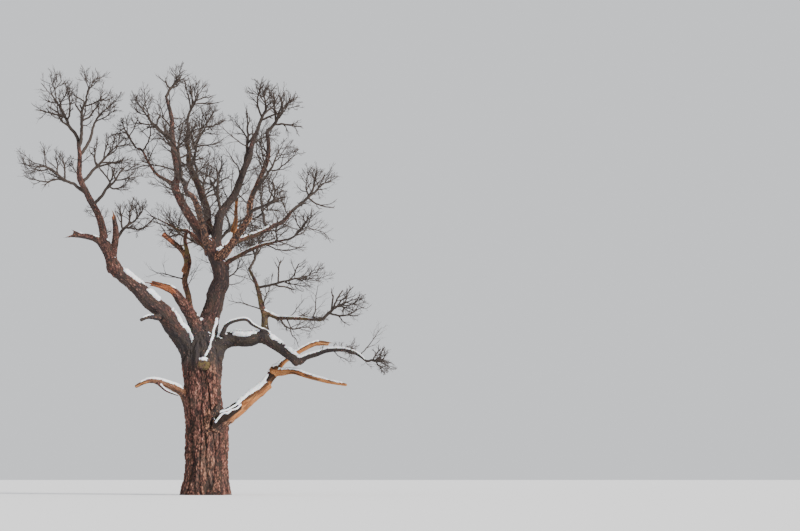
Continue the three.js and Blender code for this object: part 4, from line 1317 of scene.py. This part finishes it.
def bark_colour(g, grain, height):
    """Furrows in their own dark tone with painted shade, ridges and flakes, then grey patches, then dark
    places, which hold painted shade under the limbs and in the fork with painted highlight left on the
    ridges, then worn and mossy places.
    """
    # Low relief takes the furrow colour: the furrows' own dark tone with painted shade in them.
    colour = g.blend(g.span(height, 0.16, 0.46), FURROW_TONE_AND_SHADE, REDDISH)
    colour = g.blend(g.span(height, 0.44, 0.78), colour, RIDGE)
    flakes = g.span(g.noise(grain, 24, 12, 5), 0.53, 0.67)
    colour = g.blend(g.times(flakes, g.span(height, 0.35, 0.6)), colour, FLAKE)
    patches = g.noise(grain, 1.3, 0.5, 3)
    colour = g.blend(g.times(g.span(patches, 0.5, 0.75), 0.35), colour, GREY_BARK)
    dark = g.times(g.field("dark"), g.span(patches, 0.15, 0.55))
    # Painted highlight: the darkening is halved on the ridges, so they stay reddish.
    spared_on_lit_ridges = g.math("SUBTRACT", 1, g.times(g.span(height, 0.5, 0.75), 0.5))
    colour = g.blend(g.times(dark, spared_on_lit_ridges), colour, DARK_BARK)
    pale = g.times(g.field("pale"), g.span(height, 0.25, 0.6))
    colour = g.blend(pale, colour, TAN)
    moss = g.times(g.field("moss"), g.span(g.noise(grain, 5, 2, 4), 0.42, 0.6))
    return g.blend(moss, colour, MOSSY)


def wood_colour(g, grain):
    """Bare wood in fibres, red where it is torn, with remains of bark and rotten splits."""
    fibres = g.noise(grain, 24, 1.4, 5)
    wood = g.blend(g.span(fibres, 0.42, 0.72), BARE_ORANGE, BARE_PALE)
    torn = g.blend(g.span(fibres, 0.38, 0.66), TORN_DARK, TORN_LIGHT)
    wood = g.blend(g.field("red"), wood, torn)
    remains = g.span(g.noise(grain, 6, 1.6, 5), 0.5, 0.62)
    wood = g.blend(g.times(remains, 0.75), wood, WORN_BROWN)
    splits = g.span(g.noise(grain, 9, 0.9, 4), 0.44, 0.34)
    return g.blend(g.times(splits, 0.85), wood, ROTTEN)


def bark_material():
    g = Graph("oak_bark", 0.9)
    grain = g.field("grain", "Vector")
    height = bark_height(g, grain)
    colour = g.blend(g.field("bare"), bark_colour(g, grain, height), wood_colour(g, grain))
    colour = g.blend(g.field("rot"), colour, ROTTEN)
    return g.finish(colour, height, 0.03)


def snow_material():
    g = Graph("settled_snow", 0.6)
    crumbs = g.noise(g.add("ShaderNodeNewGeometry", output="Position"), 14, 14, 4)
    g.put(g.shader.inputs["Subsurface Weight"], 0.15)
    return g.finish(g.blend(g.span(crumbs, 0.3, 0.7), SNOW_SHADE, SNOW_WHITE), crumbs, 0.01, 0.5)


# Stage, in metres and degrees

EYE = (8.904, -72.0, 0.8)
EYE_RISE = 7.754  # how far the camera looks up
LENS = 70
SENSOR = 36
SKY = (0.86, 0.88, 0.91, 1)
SUN_COLOUR = (1.0, 0.95, 0.88)
SUN_POWER = 5.5
SUN_WIDTH = 14
SUN_TILT = 58
SUN_TURN = 58
FLOOR_REACH = 400


def add_to_scene(name, data, location, tilt, turn=0):
    """A camera or light in the scene."""
    made = bpy.data.objects.new(name, data)
    made.location = location
    made.rotation_euler = (math.radians(tilt), 0, math.radians(turn))
    bpy.context.scene.collection.objects.link(made)
    return made


def make_stage():
    scene = bpy.context.scene
    camera = bpy.data.cameras.new("camera")
    camera.lens = LENS
    camera.sensor_width = SENSOR
    camera.clip_end = 1000
    scene.camera = add_to_scene("camera", camera, EYE, 90 + EYE_RISE)
    world = bpy.data.worlds.new("world")
    world.use_nodes = True
    world.node_tree.nodes["Background"].inputs["Color"].default_value = SKY
    world.node_tree.nodes["Background"].inputs["Strength"].default_value = 1.0
    scene.world = world
    sun = bpy.data.lights.new("sun", "SUN")
    sun.energy = SUN_POWER
    sun.angle = math.radians(SUN_WIDTH)
    sun.color = SUN_COLOUR
    add_to_scene("sun", sun, (0, 0, 0), SUN_TILT, SUN_TURN)
    corners = FLOOR_REACH * np.array([(-1, -1, 0), (1, -1, 0), (1, 1, 0), (-1, 1, 0)], float)
    new_object("floor", corners, [np.array([[0, 1, 2, 3]])],
                        plain_material("floor", (0.82, 0.83, 0.85), 0.9))


bark_surface = make_bark()
make_twigs()
make_snow(bark_surface)
make_stage()
